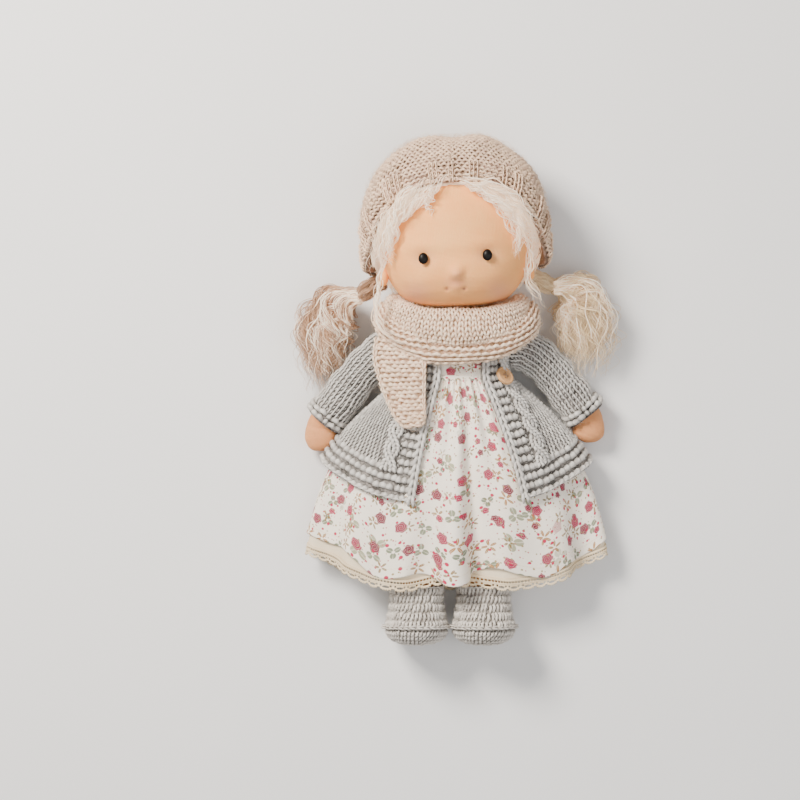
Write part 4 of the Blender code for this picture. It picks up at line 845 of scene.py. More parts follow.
def hat_pieces():
    length = np.linalg.norm(np.diff(hat_grid[:, 0], axis=0), axis=1).sum()
    count = int(round(length / 0.0034))
    rows = (np.arange(count) + 0.5) / count
    high = 1.0 / count
    places = cells(hat_surface, rows[1:], high * 1.05, 0.0044, stagger=True, wrap=True)
    wave = 0.0007 * np.sin(places[:, 0] * TAU * 7 + places[:, 1] * 9) * np.clip(places[:, 1] * 2, 0, 1)
    body = stitches(hat_surface, places, PURL, 0.0042, lift=-0.0016 + wave, wide=0.92, tall=1.02, loose=0.10)
    edge = cells(hat_surface, [0.992], high * 1.1, 0.0050, wrap=True)
    lip = stitches(hat_surface, edge, PURL, 0.0036, lift=-0.0004, wide=1.0, tall=1.15)
    ribs = []
    perimeter = np.linalg.norm(np.roll(hat_grid[-1], -1, 0) - hat_grid[-1], axis=1).sum()
    groups = int(round(perimeter / 0.0205))
    across = 0.0032 / perimeter
    for k in range(groups):
        for j in range(3 if k % 2 else 2):
            u = (k + 0.25 * math.sin(3.7 * k)) / groups + (j - 1) * across
            v = np.linspace(0.985, 0.985 - 3.9 * high, 4)
            ribs.append(np.stack([np.full(4, u), v, np.full(4, across * 0.85), np.full(4, high * 1.05),
                                  np.full(4, 0.0)], -1))
    ribs = np.concatenate(ribs)
    rib = stitches(hat_surface, ribs, WALE, 0.0044, lift=0.0008, wide=1.0, tall=1.05, loose=0.03)
    # Painted highlight: the raised ribs' shade is lifted by 12 percent so they read lighter.
    rib = (*rib[:2], np.clip(rib[2] * 1.12, 0, 1), rib[3])
    made = knitted("hat_stitches", [body, lip, rib], HAT_WOOL)
    # The backing under the stitches is a dark sheet with a low shade value: painted shade that shows in the gaps
    # between them.
    backing = shell("hat_wool", inset(hat_grid, 0.0016, True), 0.0022, HAT_WOOL, wrap=True,
                    attributes={"shade": np.full(hat_grid.shape[:2], 0.26), "tint": np.full(hat_grid.shape[:2], 0.4)})
    for piece in (made, backing):
        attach(piece, "hat")
    loose = fuzz("hat_fuzz", hat_surface, 5200, 0.0045, 0.00006, HAT_WOOL, edge=(0, 1, 0.05, 0.98), lift=0.0006)
    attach(loose, "hat")
    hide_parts("hat")
    return made


hat_pieces()


# Hair
HEAD_MIDDLE = tilt(np.array((NECK_X, 0.120, 0.055)))


def locks(path, count, wide, deep, up, curl=0.002, turns=3.0, steps=26, thin=0.00016, start=0.0, seed=1, splay=0.0,
          tip=0.5, wander=0.0015, clump=14):
    """Strands that follow a path in a bundle. Those of one clump share a curl and differ a little."""
    rng = np.random.default_rng(seed)
    line = spline(path, steps)
    along = unit(np.gradient(line, axis=0))
    up = unit(line - HEAD_MIDDLE) if up is None else np.broadcast_to(np.asarray(up, float), line.shape)
    up = unit(up - along * np.sum(up * along, -1, keepdims=True))
    side = np.cross(along, up)
    t = np.linspace(0, 1, steps)
    wide = np.interp(t, np.linspace(0, 1, len(np.atleast_1d(wide))), np.atleast_1d(wide))
    deep = np.interp(t, np.linspace(0, 1, len(np.atleast_1d(deep))), np.atleast_1d(deep))
    groups = max(3, int(count / clump))
    mine = rng.integers(0, groups, count)
    turn, far = rng.uniform(0, TAU, groups)[mine], np.sqrt(rng.uniform(0, 1, groups))[mine]
    a = far * np.cos(turn) + rng.normal(0, 0.10 if clump > 1 else 0, count)
    b = far * np.sin(turn) + rng.normal(0, 0.10 if clump > 1 else 0, count)
    rate = TAU * turns * rng.uniform(0.6, 1.35, groups)[mine] * rng.normal(1, 0.05, count)
    phase = rng.uniform(0, TAU, groups)[mine] + rng.normal(0, 0.35, count)
    size = curl * rng.uniform(0.35, 1.4, groups)[mine] * rng.uniform(0.7, 1.15, count)
    ramp = np.clip(t * 4, 0, 1)[None]
    reach_out = 1 + splay * t[None] ** 2 * rng.uniform(-0.2, 1.2, (count, 1))
    drift = [wander * np.sin(TAU * t[None] * rng.uniform(0.4, 1.4, groups)[mine][:, None]
                             + rng.uniform(0, TAU, groups)[mine][:, None]) for _ in range(2)]
    p = a[:, None] * wide[None] * reach_out + (size[:, None] * np.cos(rate[:, None] * t + phase[:, None]) + drift[0]) * ramp
    q = b[:, None] * deep[None] * reach_out + (size[:, None] * np.sin(rate[:, None] * t + phase[:, None]) * 0.8 + drift[1] * 0.6) * ramp
    stop = rng.uniform(tip, 1.0, count)[:, None]
    begin = (start * rng.uniform(0, 1, count))[:, None]
    s = begin + (stop - begin) * t[None]
    at = s * (steps - 1)
    i = np.clip(at.astype(int), 0, steps - 2)
    f = at - i
    row = np.arange(count)[:, None]

    def pick(values):
        return values[row, i] * (1 - f) + values[row, i + 1] * f

    p, q = pick(p), pick(q)
    base = line[i] * (1 - f[..., None]) + line[i + 1] * f[..., None]
    s_side = side[i] * (1 - f[..., None]) + side[i + 1] * f[..., None]
    s_up = up[i] * (1 - f[..., None]) + up[i + 1] * f[..., None]
    paths = base + s_side * p[..., None] + s_up * q[..., None]
    radii = thin * rng.uniform(0.6, 1.5, (count, 1)) * np.interp(t, [0, 0.7, 1], [1, 0.9, 0.35])[None]
    # Painted shade: strands lying lower in the bundle are darker, those on top lighter.
    shade = np.clip(0.55 + 0.45 * b, 0, 1)
    return paths, radii, shade


def thick_locks(path, count, wide, deep, seed, up=None, curl=0.0024, turns=4.0, tip=0.55, start=0.3):
    """Felted strands, thick as thread, that lie on top and catch the light."""
    return locks(path, count, wide, deep, up, curl=curl, turns=turns, seed=400 + seed, steps=48, thin=0.00040, tip=tip,
                 start=start, clump=1, splay=0.4, wander=0.0022)


def hair(name, lots, material, body, sides=3, stay_above=0.0005):
    co, faces, shade, tint, base = [], [], [], [], 0
    for paths, radii, depth in lots:
        paths = paths.copy()
        paths[..., 2] = np.maximum(paths[..., 2], stay_above)
        c, f, each = tubes(paths, radii, sides=sides)
        co.append(c)
        faces.append(f + base)
        base += len(c)
        # The third value of each lot is the shade of its strands: painted shade from their place in a bundle, or a
        # random tone for the crown.
        shade.append(np.repeat(depth, each))
        tint.append(np.repeat(RNG.random(len(paths)), each))
    made = build(name, np.concatenate(co), faces, material, attributes={
        "shade": np.concatenate(shade), "tint": np.concatenate(tint)})
    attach(made, body)
    return made


def scalp():
    """The hair over the crown: short waves combed down from a centre parting."""
    rng = np.random.default_rng(11)
    count, steps = 3000, 16
    up0 = rng.uniform(0.25, 0.98, count)
    angle0 = rng.uniform(-np.pi, np.pi, count)
    plane = 0.1560 + 0.002
    paths = np.empty((count, steps, 3))
    keep = np.ones(count, bool)
    size = rng.uniform(0.0003, 0.0014, count)
    rate, phase = rng.uniform(14, 30, count), rng.uniform(0, TAU, count)
    wall = 0.0028 + (0.0078 - 0.0028) * np.abs(np.sin(angle0))
    lift = wall * rng.uniform(0.55, 0.98, count)
    for k in range(steps):
        t = k / (steps - 1)
        up = up0 - 0.20 * t
        angle = angle0 + 0.25 * t * np.sign(angle0) * (1 - np.abs(angle0) / np.pi)
        up = np.maximum(up, 0.16)
        spot = head_at(up, angle + size * 18 * np.sin(rate * t + phase) * 0.6, 0.0)
        out = unit(spot - tilt(np.array((NECK_X, 0.120, 0.060))))
        paths[:, k] = spot + out * lift[:, None] + np.array((0, 1, 0)) * (size * np.cos(rate * t + phase))[:, None]
    base = upright_of(paths)
    front = base[..., 1] < plane + (base[..., 2] - 0.103) * math.tan(math.radians(50))
    keep &= ~front.any(1)
    paths = paths[keep]
    radii = 0.00022 * rng.uniform(0.6, 1.5, (len(paths), 1)) * np.ones((1, steps))
    return paths, radii, rng.uniform(0.2, 1.0, len(paths))


def upright_of(co):
    c, s = math.cos(-HEAD_TILT), math.sin(-HEAD_TILT)
    x, y = co[..., 0] - HEAD_PIVOT[0], co[..., 1] - HEAD_PIVOT[1]
    return np.stack([HEAD_PIVOT[0] + c * x - s * y, HEAD_PIVOT[1] + s * x + c * y, co[..., 2]], -1)


def cap_base():
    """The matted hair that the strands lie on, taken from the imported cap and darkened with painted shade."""
    node = bpy.data.objects["hair_cap"]
    made = bpy.data.objects.new("hair_mat", node.data.copy())
    bpy.context.scene.collection.objects.link(made)
    made.data.materials.clear()
    made.data.materials.append(HAIR_PALE)
    refine = made.modifiers.new("refine", "SUBSURF")
    refine.levels = refine.render_levels = 2
    rough = bpy.data.textures.new("matted", "CLOUDS")
    rough.noise_scale = 0.004
    press = made.modifiers.new("matted", "DISPLACE")
    press.texture = rough
    press.strength = 0.0008
    press.mid_level = 0.75
    for polygon in made.data.polygons:
        polygon.use_smooth = True
    # Painted shade: the matted layer under the strands gets a low shade value so it reads darker.
    for key, value in (("shade", 0.35), ("tint", 0.4)):
        spot = made.data.attributes.get(key) or made.data.attributes.new(key, "FLOAT", "POINT")
        spot.data.foreach_set("value", np.full(len(made.data.vertices), value, np.float32))
    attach(made, "head")
    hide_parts("hair_cap")
    return made


cap_base()
hair("hair_crown", [scalp()], HAIR_PALE, "head")

FRINGE_SHARES = {-1: ((0.86, 9), (0.80, 14), (0.735, 21), (0.640, 38), (0.532, 55), (0.43, 67), (0.33, 74), (0.28, 76)),
                 1: ((0.87, 4), (0.82, 10), (0.765, 20), (0.650, 38), (0.532, 55), (0.43, 67), (0.34, 73))}


def fringe(sign):
    line = np.array([head_at(share, sign * math.radians(deg), 0.0042) for share, deg in FRINGE_SHARES[sign]])
    lots = [thick_locks(line, 15, 0.0080, 0.0030, 10 + sign, curl=0.0030, turns=5.0),
            locks(line, 110, 0.0066, 0.0026, None, curl=0.0034, turns=6.5, seed=20 + sign, tip=0.45, start=0.35,
                  steps=56, thin=0.00019, clump=9)]
    loose = line + unit(line - HEAD_MIDDLE) * 0.002
    lots.append(locks(loose, 70, 0.0105, 0.0030, None, curl=0.0038, turns=5, seed=30 + sign, tip=0.5, start=0.4,
                      splay=0.5, steps=44, clump=7))
    side = "left" if sign < 0 else "right"
    made = hair("fringe_hair_" + side, lots, HAIR_PALE, "head")
    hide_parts("fringe_" + side)


for sign in (-1, 1):
    fringe(sign)


def over(px_points, height):
    """A path over the head or scarf from points of the photograph and heights above the table."""
    x, y = px([p[0] for p in px_points], [p[1] for p in px_points])
    return np.stack([x, y, np.asarray(height, float)], -1)


WISPS = [
    (((436, 184), (430, 196), (427, 210), (431, 222)), (0.1145, 0.1145, 0.1140, 0.1130), 12, 0.0016),
    (((418, 188), (402, 205), (391, 228), (384, 250), (380, 272)), (0.1140, 0.1105, 0.100, 0.087, 0.074), 150, 0.0036),
    (((410, 198), (396, 218), (390, 245), (388, 268)), (0.1135, 0.109, 0.101, 0.090), 120, 0.0040),
    (((386, 262), (379, 282), (377, 303), (380, 325), (394, 340), (412, 347)),
     (0.086, 0.080, 0.080, 0.080, 0.082, 0.083), 46, 0.0016),
    (((455, 185), (477, 191), (498, 204), (512, 228), (518, 254)), (0.1140, 0.1140, 0.1110, 0.102, 0.088), 100, 0.0032),
    (((460, 184), (490, 189), (516, 205), (533, 229), (541, 254)), (0.1142, 0.1150, 0.1100, 0.095, 0.078), 70, 0.0024),
    (((500, 196), (514, 214), (518, 236), (509, 262)), (0.1115, 0.106, 0.099, 0.092), 90, 0.0032),
    (((516, 232), (530, 252), (526, 276), (536, 300), (545, 311)), (0.091, 0.080, 0.077, 0.072, 0.066), 50, 0.0022),
    (((404, 204), (386, 224), (374, 250), (369, 276)), (0.111, 0.098, 0.080, 0.062), 60, 0.0030),
]
wisp_lots = []
for k, (points, heights, count, wide) in enumerate(WISPS):
    wisp_lots.append(thick_locks(over(points, heights), count // 14 + 3, wide * 1.1, 0.0010, 60 + k, up=(0, 0, 1),
                                 curl=0.0020, turns=4.5))
    wisp_lots.append(locks(over(points, heights), count * 2 // 5, wide, 0.0012, (0, 0, 1), curl=0.0021, turns=5.0,
                           seed=50 + k, tip=0.55, start=0.25, thin=0.00015, splay=0.6, steps=44, clump=8))
hair("wisps", wisp_lots, HAIR_PALE, "head")

TIES = {-1: ((-0.0560, 0.0885, 0.0470), (-0.0640, 0.0860, 0.0440), (-0.0755, 0.0785, 0.0385)),
        1: ((0.0560, 0.0885, 0.0470), (0.0640, 0.0860, 0.0440), (0.0755, 0.0785, 0.0385))}
PIGTAILS = {
    -1: (((-0.0755, 0.0785, 0.0385), (-0.0870, 0.0765, 0.0310), (-0.0960, 0.0710, 0.0255), (-0.1025, 0.0600, 0.0225),
          (-0.1055, 0.0490, 0.0210), (-0.1062, 0.0360, 0.0190), (-0.1065, 0.0180, 0.0160)),
         (0.0052, 0.0074, 0.0140, 0.0165, 0.0165, 0.0145, 0.0120)),
    1: (((0.0755, 0.0785, 0.0385), (0.0860, 0.0785, 0.0320), (0.0935, 0.0750, 0.0275), (0.0985, 0.0645, 0.0245),
         (0.1005, 0.0510, 0.0230), (0.1000, 0.0370, 0.0200), (0.0990, 0.0200, 0.0170)),
        (0.0052, 0.0074, 0.0155, 0.0190, 0.0190, 0.0165, 0.0130))}


def pigtail(sign):
    side = "left" if sign < 0 else "right"
    tone = HAIR_ROSE if sign < 0 else HAIR_GOLD
    start = tilt(np.array(TIES[sign]))
    tie = hair("tie_hair_" + side, [locks(start, 620, 0.0062, 0.0058, (0, 0, 1), curl=0.0007, turns=2, seed=70 + sign,
                                          tip=0.97, start=0.02, wander=0.0008)], tone, "head")
    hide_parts("hair_tie_" + side)
    path, radius = PIGTAILS[sign]
    path = tilt(np.array(path))
    radius = np.array(radius)
    body = "pigtail_" + side
    inner = [locks(path, 560, radius * 0.75, radius * 0.62, (0, 0, 1), curl=0.0030, turns=5, seed=80 + sign, tip=0.6,
                   wander=0.0025, steps=46, thin=0.00019)]
    outer = [locks(path, 520, radius * 0.98, radius * 0.82, (0, 0, 1), curl=0.0056, turns=3.6, seed=90 + sign, tip=0.5,
                   wander=0.0050, splay=0.35, steps=50, clump=13, thin=0.00018),
             thick_locks(path, 90, radius, radius * 0.9, 30 + sign, up=(0, 0, 1), curl=0.0050, turns=3.4, tip=0.5,
                         start=0.05)]
    pale = [thick_locks(path + np.array((0, 0, 0.002)), 42, radius * 1.08, radius * 0.9, 20 + sign, up=(0, 0, 1),
                        curl=0.0030, turns=3.2, tip=0.5, start=0.05),
            locks(path + np.array((0, 0, 0.003)), 170, radius * 1.05, radius * 0.78, (0, 0, 1), curl=0.0044, turns=3.4,
                  seed=100 + sign, tip=0.55, wander=0.0050, splay=0.5, thin=0.00016, steps=46, clump=9)]
    ends = path.copy()
    ends[-2:] += np.array(((0.0, -0.004, 0.001), (0.0, -0.015, 0.002)))
    outer.append(locks(ends, 150, radius * 0.95, radius * 0.7, (0, 0, 1), curl=0.0040, turns=4.2, seed=110 + sign,
                       tip=0.8, start=0.3, wander=0.0040, splay=0.3, steps=54, clump=6, thin=0.00019))
    made = hair("pigtail_hair_" + side, inner + outer, tone, body)
    pale.append(thick_locks(ends, 16, radius * 1.0, radius * 0.8, 40 + sign, up=(0, 0, 1), curl=0.0036, turns=3.4,
                            tip=0.85, start=0.1))
    hair("pigtail_strands_" + side, pale, HAIR_PALE, body)
    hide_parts(body)
    rows, columns = 40, 40
    line = spline(path, 60)[:rows]
    along = unit(np.gradient(line, axis=0))
    up = unit(np.array((0, 0, 1.0)) - along * along[:, 2:3])
    sideways = np.cross(along, up)
    size = np.interp(np.linspace(0, 1, rows), np.linspace(0, 1, len(radius)), radius) * 0.66
    size *= np.sqrt(np.clip((1 - np.linspace(0, 1, rows)) / 0.35, 0.004, 1))
    turn = TAU * np.arange(columns) / columns
    rough = 1 + 0.10 * np.sin(5 * turn[None] + 9 * np.linspace(0, 1, rows)[:, None])
    grid = line[:, None] + (size[:, None] * rough)[..., None] * (
        np.cos(turn)[None, :, None] * up[:, None] + np.sin(turn)[None, :, None] * sideways[:, None])
    grid[..., 2] = np.maximum(grid[..., 2], 0.0008)
    # The core under the strands has a very low shade value: painted shade inside the pigtail that shows between the
    # strands.
    core = closed_loft("pigtail_mat_" + side, grid[:, ::-1], tone, (0.05, 0.05),
                       attributes={"shade": np.full(rows * columns + 2, 0.1), "tint": np.full(rows * columns + 2, 0.2)})
    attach(core, body)


for sign in (-1, 1):
    pigtail(sign)

# Scarf
def roll_line(half_width, front_y, side_y, back_y, front_z, half, angles):
    c, s = np.cos(angles), np.sin(angles)
    front, back = np.clip(c, 0, 1), np.clip(-c, 0, 1)
    y = np.where(c > 0, side_y + (front_y - side_y) * front, side_y + (back_y - side_y) * np.sqrt(back))
    z = np.where(c > 0, 0.044 + (front_z - 0.044) * front**0.6, 0.044 + (0.0098 - 0.044) * back)
    tall = np.where(c > 0, 0.0105 + (half - 0.0105) * front, 0.0105 + (0.0085 - 0.0105) * back)
    thick = np.where(c > 0, 0.0082, 0.0082 + (0.0065 - 0.0082) * back)
    return np.stack([half_width * s, y, z], -1), tall, thick


def scarf_roll(numbers, seed):
    """One turn of the scarf: a plump knitted band folded on itself, its stitches running round the neck."""
    columns, rows = 180, 48
    angles = TAU * np.arange(columns) / columns
    line, tall, thick = roll_line(*numbers, angles)
    for _ in range(6):
        line = line * 0.5 + (np.roll(line, 1, 0) + np.roll(line, -1, 0)) * 0.25
    along = unit(np.roll(line, -1, 0) - np.roll(line, 1, 0))
    out = unit(line - np.array((0.0, 0.060, 0.040))) * np.array((1, 0.0, 1))
    out = unit(out - along * np.sum(out * along, -1, keepdims=True))
    up = unit(np.cross(along, out))
    turn = TAU * np.arange(rows) / rows
    sag = 0.0007 * np.sin(3 * angles + seed) + 0.0005 * np.sin(7 * angles + 2 * seed)
    ring_up, ring_out = np.cos(turn), np.sin(turn)

    crease = 1 - 0.10 * np.exp(-((ring_up + 0.15) / 0.22) ** 2) * (ring_out > 0)
    size_up = (tall + sag)[:, None] * ring_up[None]
    size_out = (thick * 0.92)[:, None] * (np.sign(ring_out) * np.abs(ring_out) ** 0.8 * crease)[None]
    grid = line[:, None] + up[:, None] * size_up[..., None] + out[:, None] * size_out[..., None]
    grid = grid.transpose(1, 0, 2)
    grid[..., 2] = np.maximum(grid[..., 2], 0.0030)
    return np.concatenate([grid, grid[:1]])


def scarf_pieces():
    lots, mats = [], []
    for k, numbers in enumerate(((0.049, 0.0500, 0.0665, 0.0612, 0.0775, 0.0132),
                                 (0.057, 0.0335, 0.0595, 0.0605, 0.0725, 0.0108))):
        grid = scarf_roll(numbers, k + 1)
        probe = Surface(grid, wrap=True)
        u = np.array([0.1])
        _, across, along, out = probe.frames(u, np.array([0.2]), 0.01, 0.02, 1.0)
        centre = grid[:-1, int(0.1 * grid.shape[1])].mean(0)
        if np.sum(out[0] * (probe.at(0.1, 0.2) - centre)) < 0:
            grid = grid[::-1]
            probe = Surface(grid, wrap=True)
        round_length = np.linalg.norm(np.diff(grid[:, 0], axis=0), axis=1).sum()
        count = int(round(round_length / (0.0036 if k == 0 else 0.0040)))
        rows = (np.arange(count) + 0.5) / count
        ring = np.linalg.norm(np.roll(grid[0], -1, 0) - grid[0], axis=1).sum()
        columns = int(round(ring / (0.0046 if k == 0 else 0.0050)))
        uu, vv = np.meshgrid((np.arange(columns) + 0.5) / columns, rows)
        slant = 0.5 / columns * (np.arange(count) % 2)[:, None]
        if k == 0:
            slant = 1.6 / columns * np.sin(TAU * rows)[:, None]
        places = np.stack([(uu + slant).ravel(), vv.ravel(), np.full(uu.size, 1.0 / columns),
                           np.full(uu.size, 1.0 / count), np.zeros(uu.size)], -1)
        if k == 0:
            lots.append(stitches(probe, places, KNIT, 0.0044, lift=-0.0010, wide=0.98, tall=1.05, loose=0.06))
        else:
            lots.append(stitches(probe, places, PURL, 0.0042, lift=-0.0010, wide=0.95, tall=1.15, loose=0.07))
        mats.append((grid, probe))
    made = knitted("scarf_stitches", lots, SCARF_WOOL)
    pieces = [made]
    for k, (grid, probe) in enumerate(mats):
        # The backing band under the scarf's stitches carries painted shade.
        base = closed_band("scarf_wool_%d" % k, inset(grid, 0.0012, True), SCARF_WOOL)
        pieces.append(base)
        pieces.append(fuzz("scarf_fuzz_%d" % k, probe, 2600, 0.0042, 0.00006, SCARF_WOOL, lift=0.0006))
    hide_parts("scarf")
    return pieces


KNIT_SIDE = (KNIT[0][:, [1, 0, 2]] * np.array((1, 1, 1)), KNIT[1][:, ::-1])


def closed_band(name, grid, material, shade=0.12):
    """A hollow ring of cloth whose first and last rows are the same, darkened with a flat painted shade that shows
    between the stitches.
    """
    grid = grid[:-1]
    rows, columns, _ = grid.shape
    r, c = np.arange(rows), np.arange(columns)
    rr, cc = np.meshgrid(r, c, indexing="ij")
    n, m = (rr + 1) % rows, (cc + 1) % columns
    faces = np.stack([rr * columns + cc, rr * columns + m, n * columns + m, n * columns + cc], -1).reshape(-1, 4)
    return build(name, grid.reshape(-1, 3), faces, material, attributes={
        "shade": np.full(rows * columns, shade), "tint": np.full(rows * columns, 0.4)})


def tail():
    outer = spline(((-0.0640, 0.0420, 0.0560), (-0.0650, 0.0250, 0.0560), (-0.0600, 0.0060, 0.0575),
                    (-0.0530, -0.0120, 0.0610), (-0.0430, -0.0290, 0.0650)), 40)
    inner = spline(((-0.0240, 0.0380, 0.0705), (-0.0245, 0.0250, 0.0700), (-0.0250, 0.0060, 0.0700),
                    (-0.0250, -0.0120, 0.0700), (-0.0240, -0.0260, 0.0700)), 40)
    t = np.linspace(0, 1, 26)[None, :, None]
    grid = outer[:, None] * (1 - t) + inner[:, None] * t
    near_tip = np.clip(np.linspace(-6.0, 1.0, 40), 0, 1)
    middle = grid.mean(1, keepdims=True)
    grid = middle + (grid - middle) * np.sqrt(1 - 0.80 * near_tip**2)[:, None, None]
    bulge = 0.0022 * np.sin(np.pi * t[..., 0]) + 0.0006 * np.sin(9 * t[..., 0] + np.arange(40)[:, None] * 0.35)
    grid[..., 2] += bulge + 0.0026
    surface = Surface(grid)
    probe = surface.frames(np.array([0.5]), np.array([0.5]), 0.02, 0.02, 1.0)[3][0]
    if probe[2] < 0:
        grid = grid[:, ::-1]
        surface = Surface(grid)
    count = 21
    rows = (np.arange(count) + 0.5) / count
    moss = cells(surface, rows, 1.12 / count, 0.0047, edge=(0.06, 0.94), stagger=True)
    lots = [stitches(surface, moss, BEAD, 0.0042, lift=-0.0008, wide=0.92, tall=1.1, loose=0.12)]
    for u in (0.03, 0.97):
        v = (np.arange(15) + 0.5) / 15
        places = np.stack([np.full(15, u), v, np.full(15, 0.115), np.full(15, 1.05 / 15), v * 0], -1)
        lots.append(stitches(surface, places, KNIT, 0.0040, lift=0.0, loose=0.03))
    ends = cells(surface, [0.985], 0.05, 0.0045, edge=(0.02, 0.98))
    lots.append(stitches(surface, ends, PURL, 0.0042, lift=-0.0002))
    made = knitted("scarf_tail_stitches", lots, SCARF_WOOL)
    # The backing under the tail's stitches has a low shade value: painted shade that shows in the gaps.
    base = shell("scarf_tail_wool", inset(grid, 0.0010) if probe[2] > 0 else grid, 0.0020, SCARF_WOOL,
                 attributes={"shade": np.full(grid.shape[:2], 0.14), "tint": np.full(grid.shape[:2], 0.4)})
    loose = fuzz("scarf_tail_fuzz", surface, 900, 0.0042, 0.00006, SCARF_WOOL)
    return [made, base, loose], grid


for piece in scarf_pieces():
    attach(piece, "body")
tail_made, tail_grid = tail()
for piece in tail_made:
    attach(piece, "body")

# Dress and petticoat
WAIST_SHARE = (SHOULDER_TOP_Y - WAIST_Y) / (SHOULDER_TOP_Y - HIP_Y)


def gathers(down, angle):
    """Fine pleats that start at the waist seam and die out, and the deep folds of the front."""
    front = np.clip(np.cos(angle) * 1.4, 0, 1) ** 0.5
    fine = 0.0013 * np.exp(-((down - 0.05) / 0.10) ** 2) * np.sin(54 * angle + 1.2 * np.sin(5 * angle))
    mid = 0.0018 * np.exp(-((down - 0.22) / 0.24) ** 2) * np.sin(27 * angle + 1.5 * np.sin(3 * angle) + 0.6)
    long = 0.0042 * np.clip(down - 0.10, 0, 1) * np.sin(15 * angle + 0.7 * np.sin(4 * angle) + 0.9 + 0.8 * down)
    growth = np.clip((down - 0.20) / 0.50, 0, 1)
    deep = -0.0078 * growth * np.exp(-((angle - 0.085 - 0.045 * down) / 0.058) ** 2)
    crest = 0.0042 * growth * np.exp(-((angle + 0.055 - 0.02 * down) / 0.085) ** 2)
    return (fine + mid + long) * (0.35 + 0.65 * front) + deep + crest


HEM_WAVES = ((-0.02, 0.026, 0.13), (0.27, -0.026, 0.14), (0.64, 0.034, 0.18), (1.07, 0.040, 0.20),
             (-0.85, -0.020, 0.18), (-0.56, 0.030, 0.14), (-0.25, -0.006, 0.12), (1.9, 0.015, 0.3), (-1.8, 0.012, 0.3))


def skirt_grid(start, end, rows, columns, lift, fold=1.0, covered=0.55, wave=1.0, drop=0.0, strip=None,
               tuck=0.0):
    angle = np.linspace(-np.pi, np.pi, columns, endpoint=False)[None]
    reach_down = sum(high * np.exp(-((angle - middle) / wide) ** 2) for middle, high, wide in HEM_WAVES) * wave
    t = np.linspace(0, 1, rows)[:, None]
    stop = end + reach_down + drop * np.abs(np.sin(angle)) ** 3
    stop = stop - tuck * np.exp((np.cos(angle + 0.04) - 1) / 0.0145)
    begin = start if strip is None else stop - strip
    down = begin + (stop - begin) * t
    base = skirt_at(down, angle, 0.0) + 0 * angle[..., None]
    base = smooth_grid(base, 3, wrap=True)
    across = np.roll(base, -1, 1) - np.roll(base, 1, 1)
    out = unit(np.cross(across, np.gradient(base, axis=0)))
    if (out[0, columns // 2] @ np.array((0, 0, 1.0))) < 0:
        out = -out
    size = gathers(down, angle) * fold
    under = np.clip((covered + 0.07 * np.clip(np.cos(angle), 0, 1) - down) / 0.06, 0, 1)
    open_front = np.clip(1 - np.abs((angle - 0.08) / 0.42) ** 6, 0, 1)
    hidden = under * (1 - open_front)
    size = size * (1 - hidden) + np.minimum(size, 0) * hidden
    grid = base + out * (size + lift)[..., None]
    grid[..., 2] = np.maximum(grid[..., 2], 0.0062 - lift * 1.2)
    return grid


def hem_curl(grid, size):
    """The last centimetre of a skirt flares and ripples a little."""
    rows, columns, _ = grid.shape
    t = np.clip((np.linspace(0, 1, rows) - 0.88) / 0.12, 0, 1)[:, None]
    across = np.roll(grid, -1, 1) - np.roll(grid, 1, 1)
    out = unit(np.cross(across, np.gradient(grid, axis=0)))
    angle = np.linspace(-np.pi, np.pi, columns, endpoint=False)[None]
    out = out * np.sign(out[rows // 2, columns // 2, 2])
    ripple = size * t**1.5 * (0.5 + np.sin(23 * angle + 1.7 * np.sin(4 * angle)))
    return grid + out * ripple[..., None]


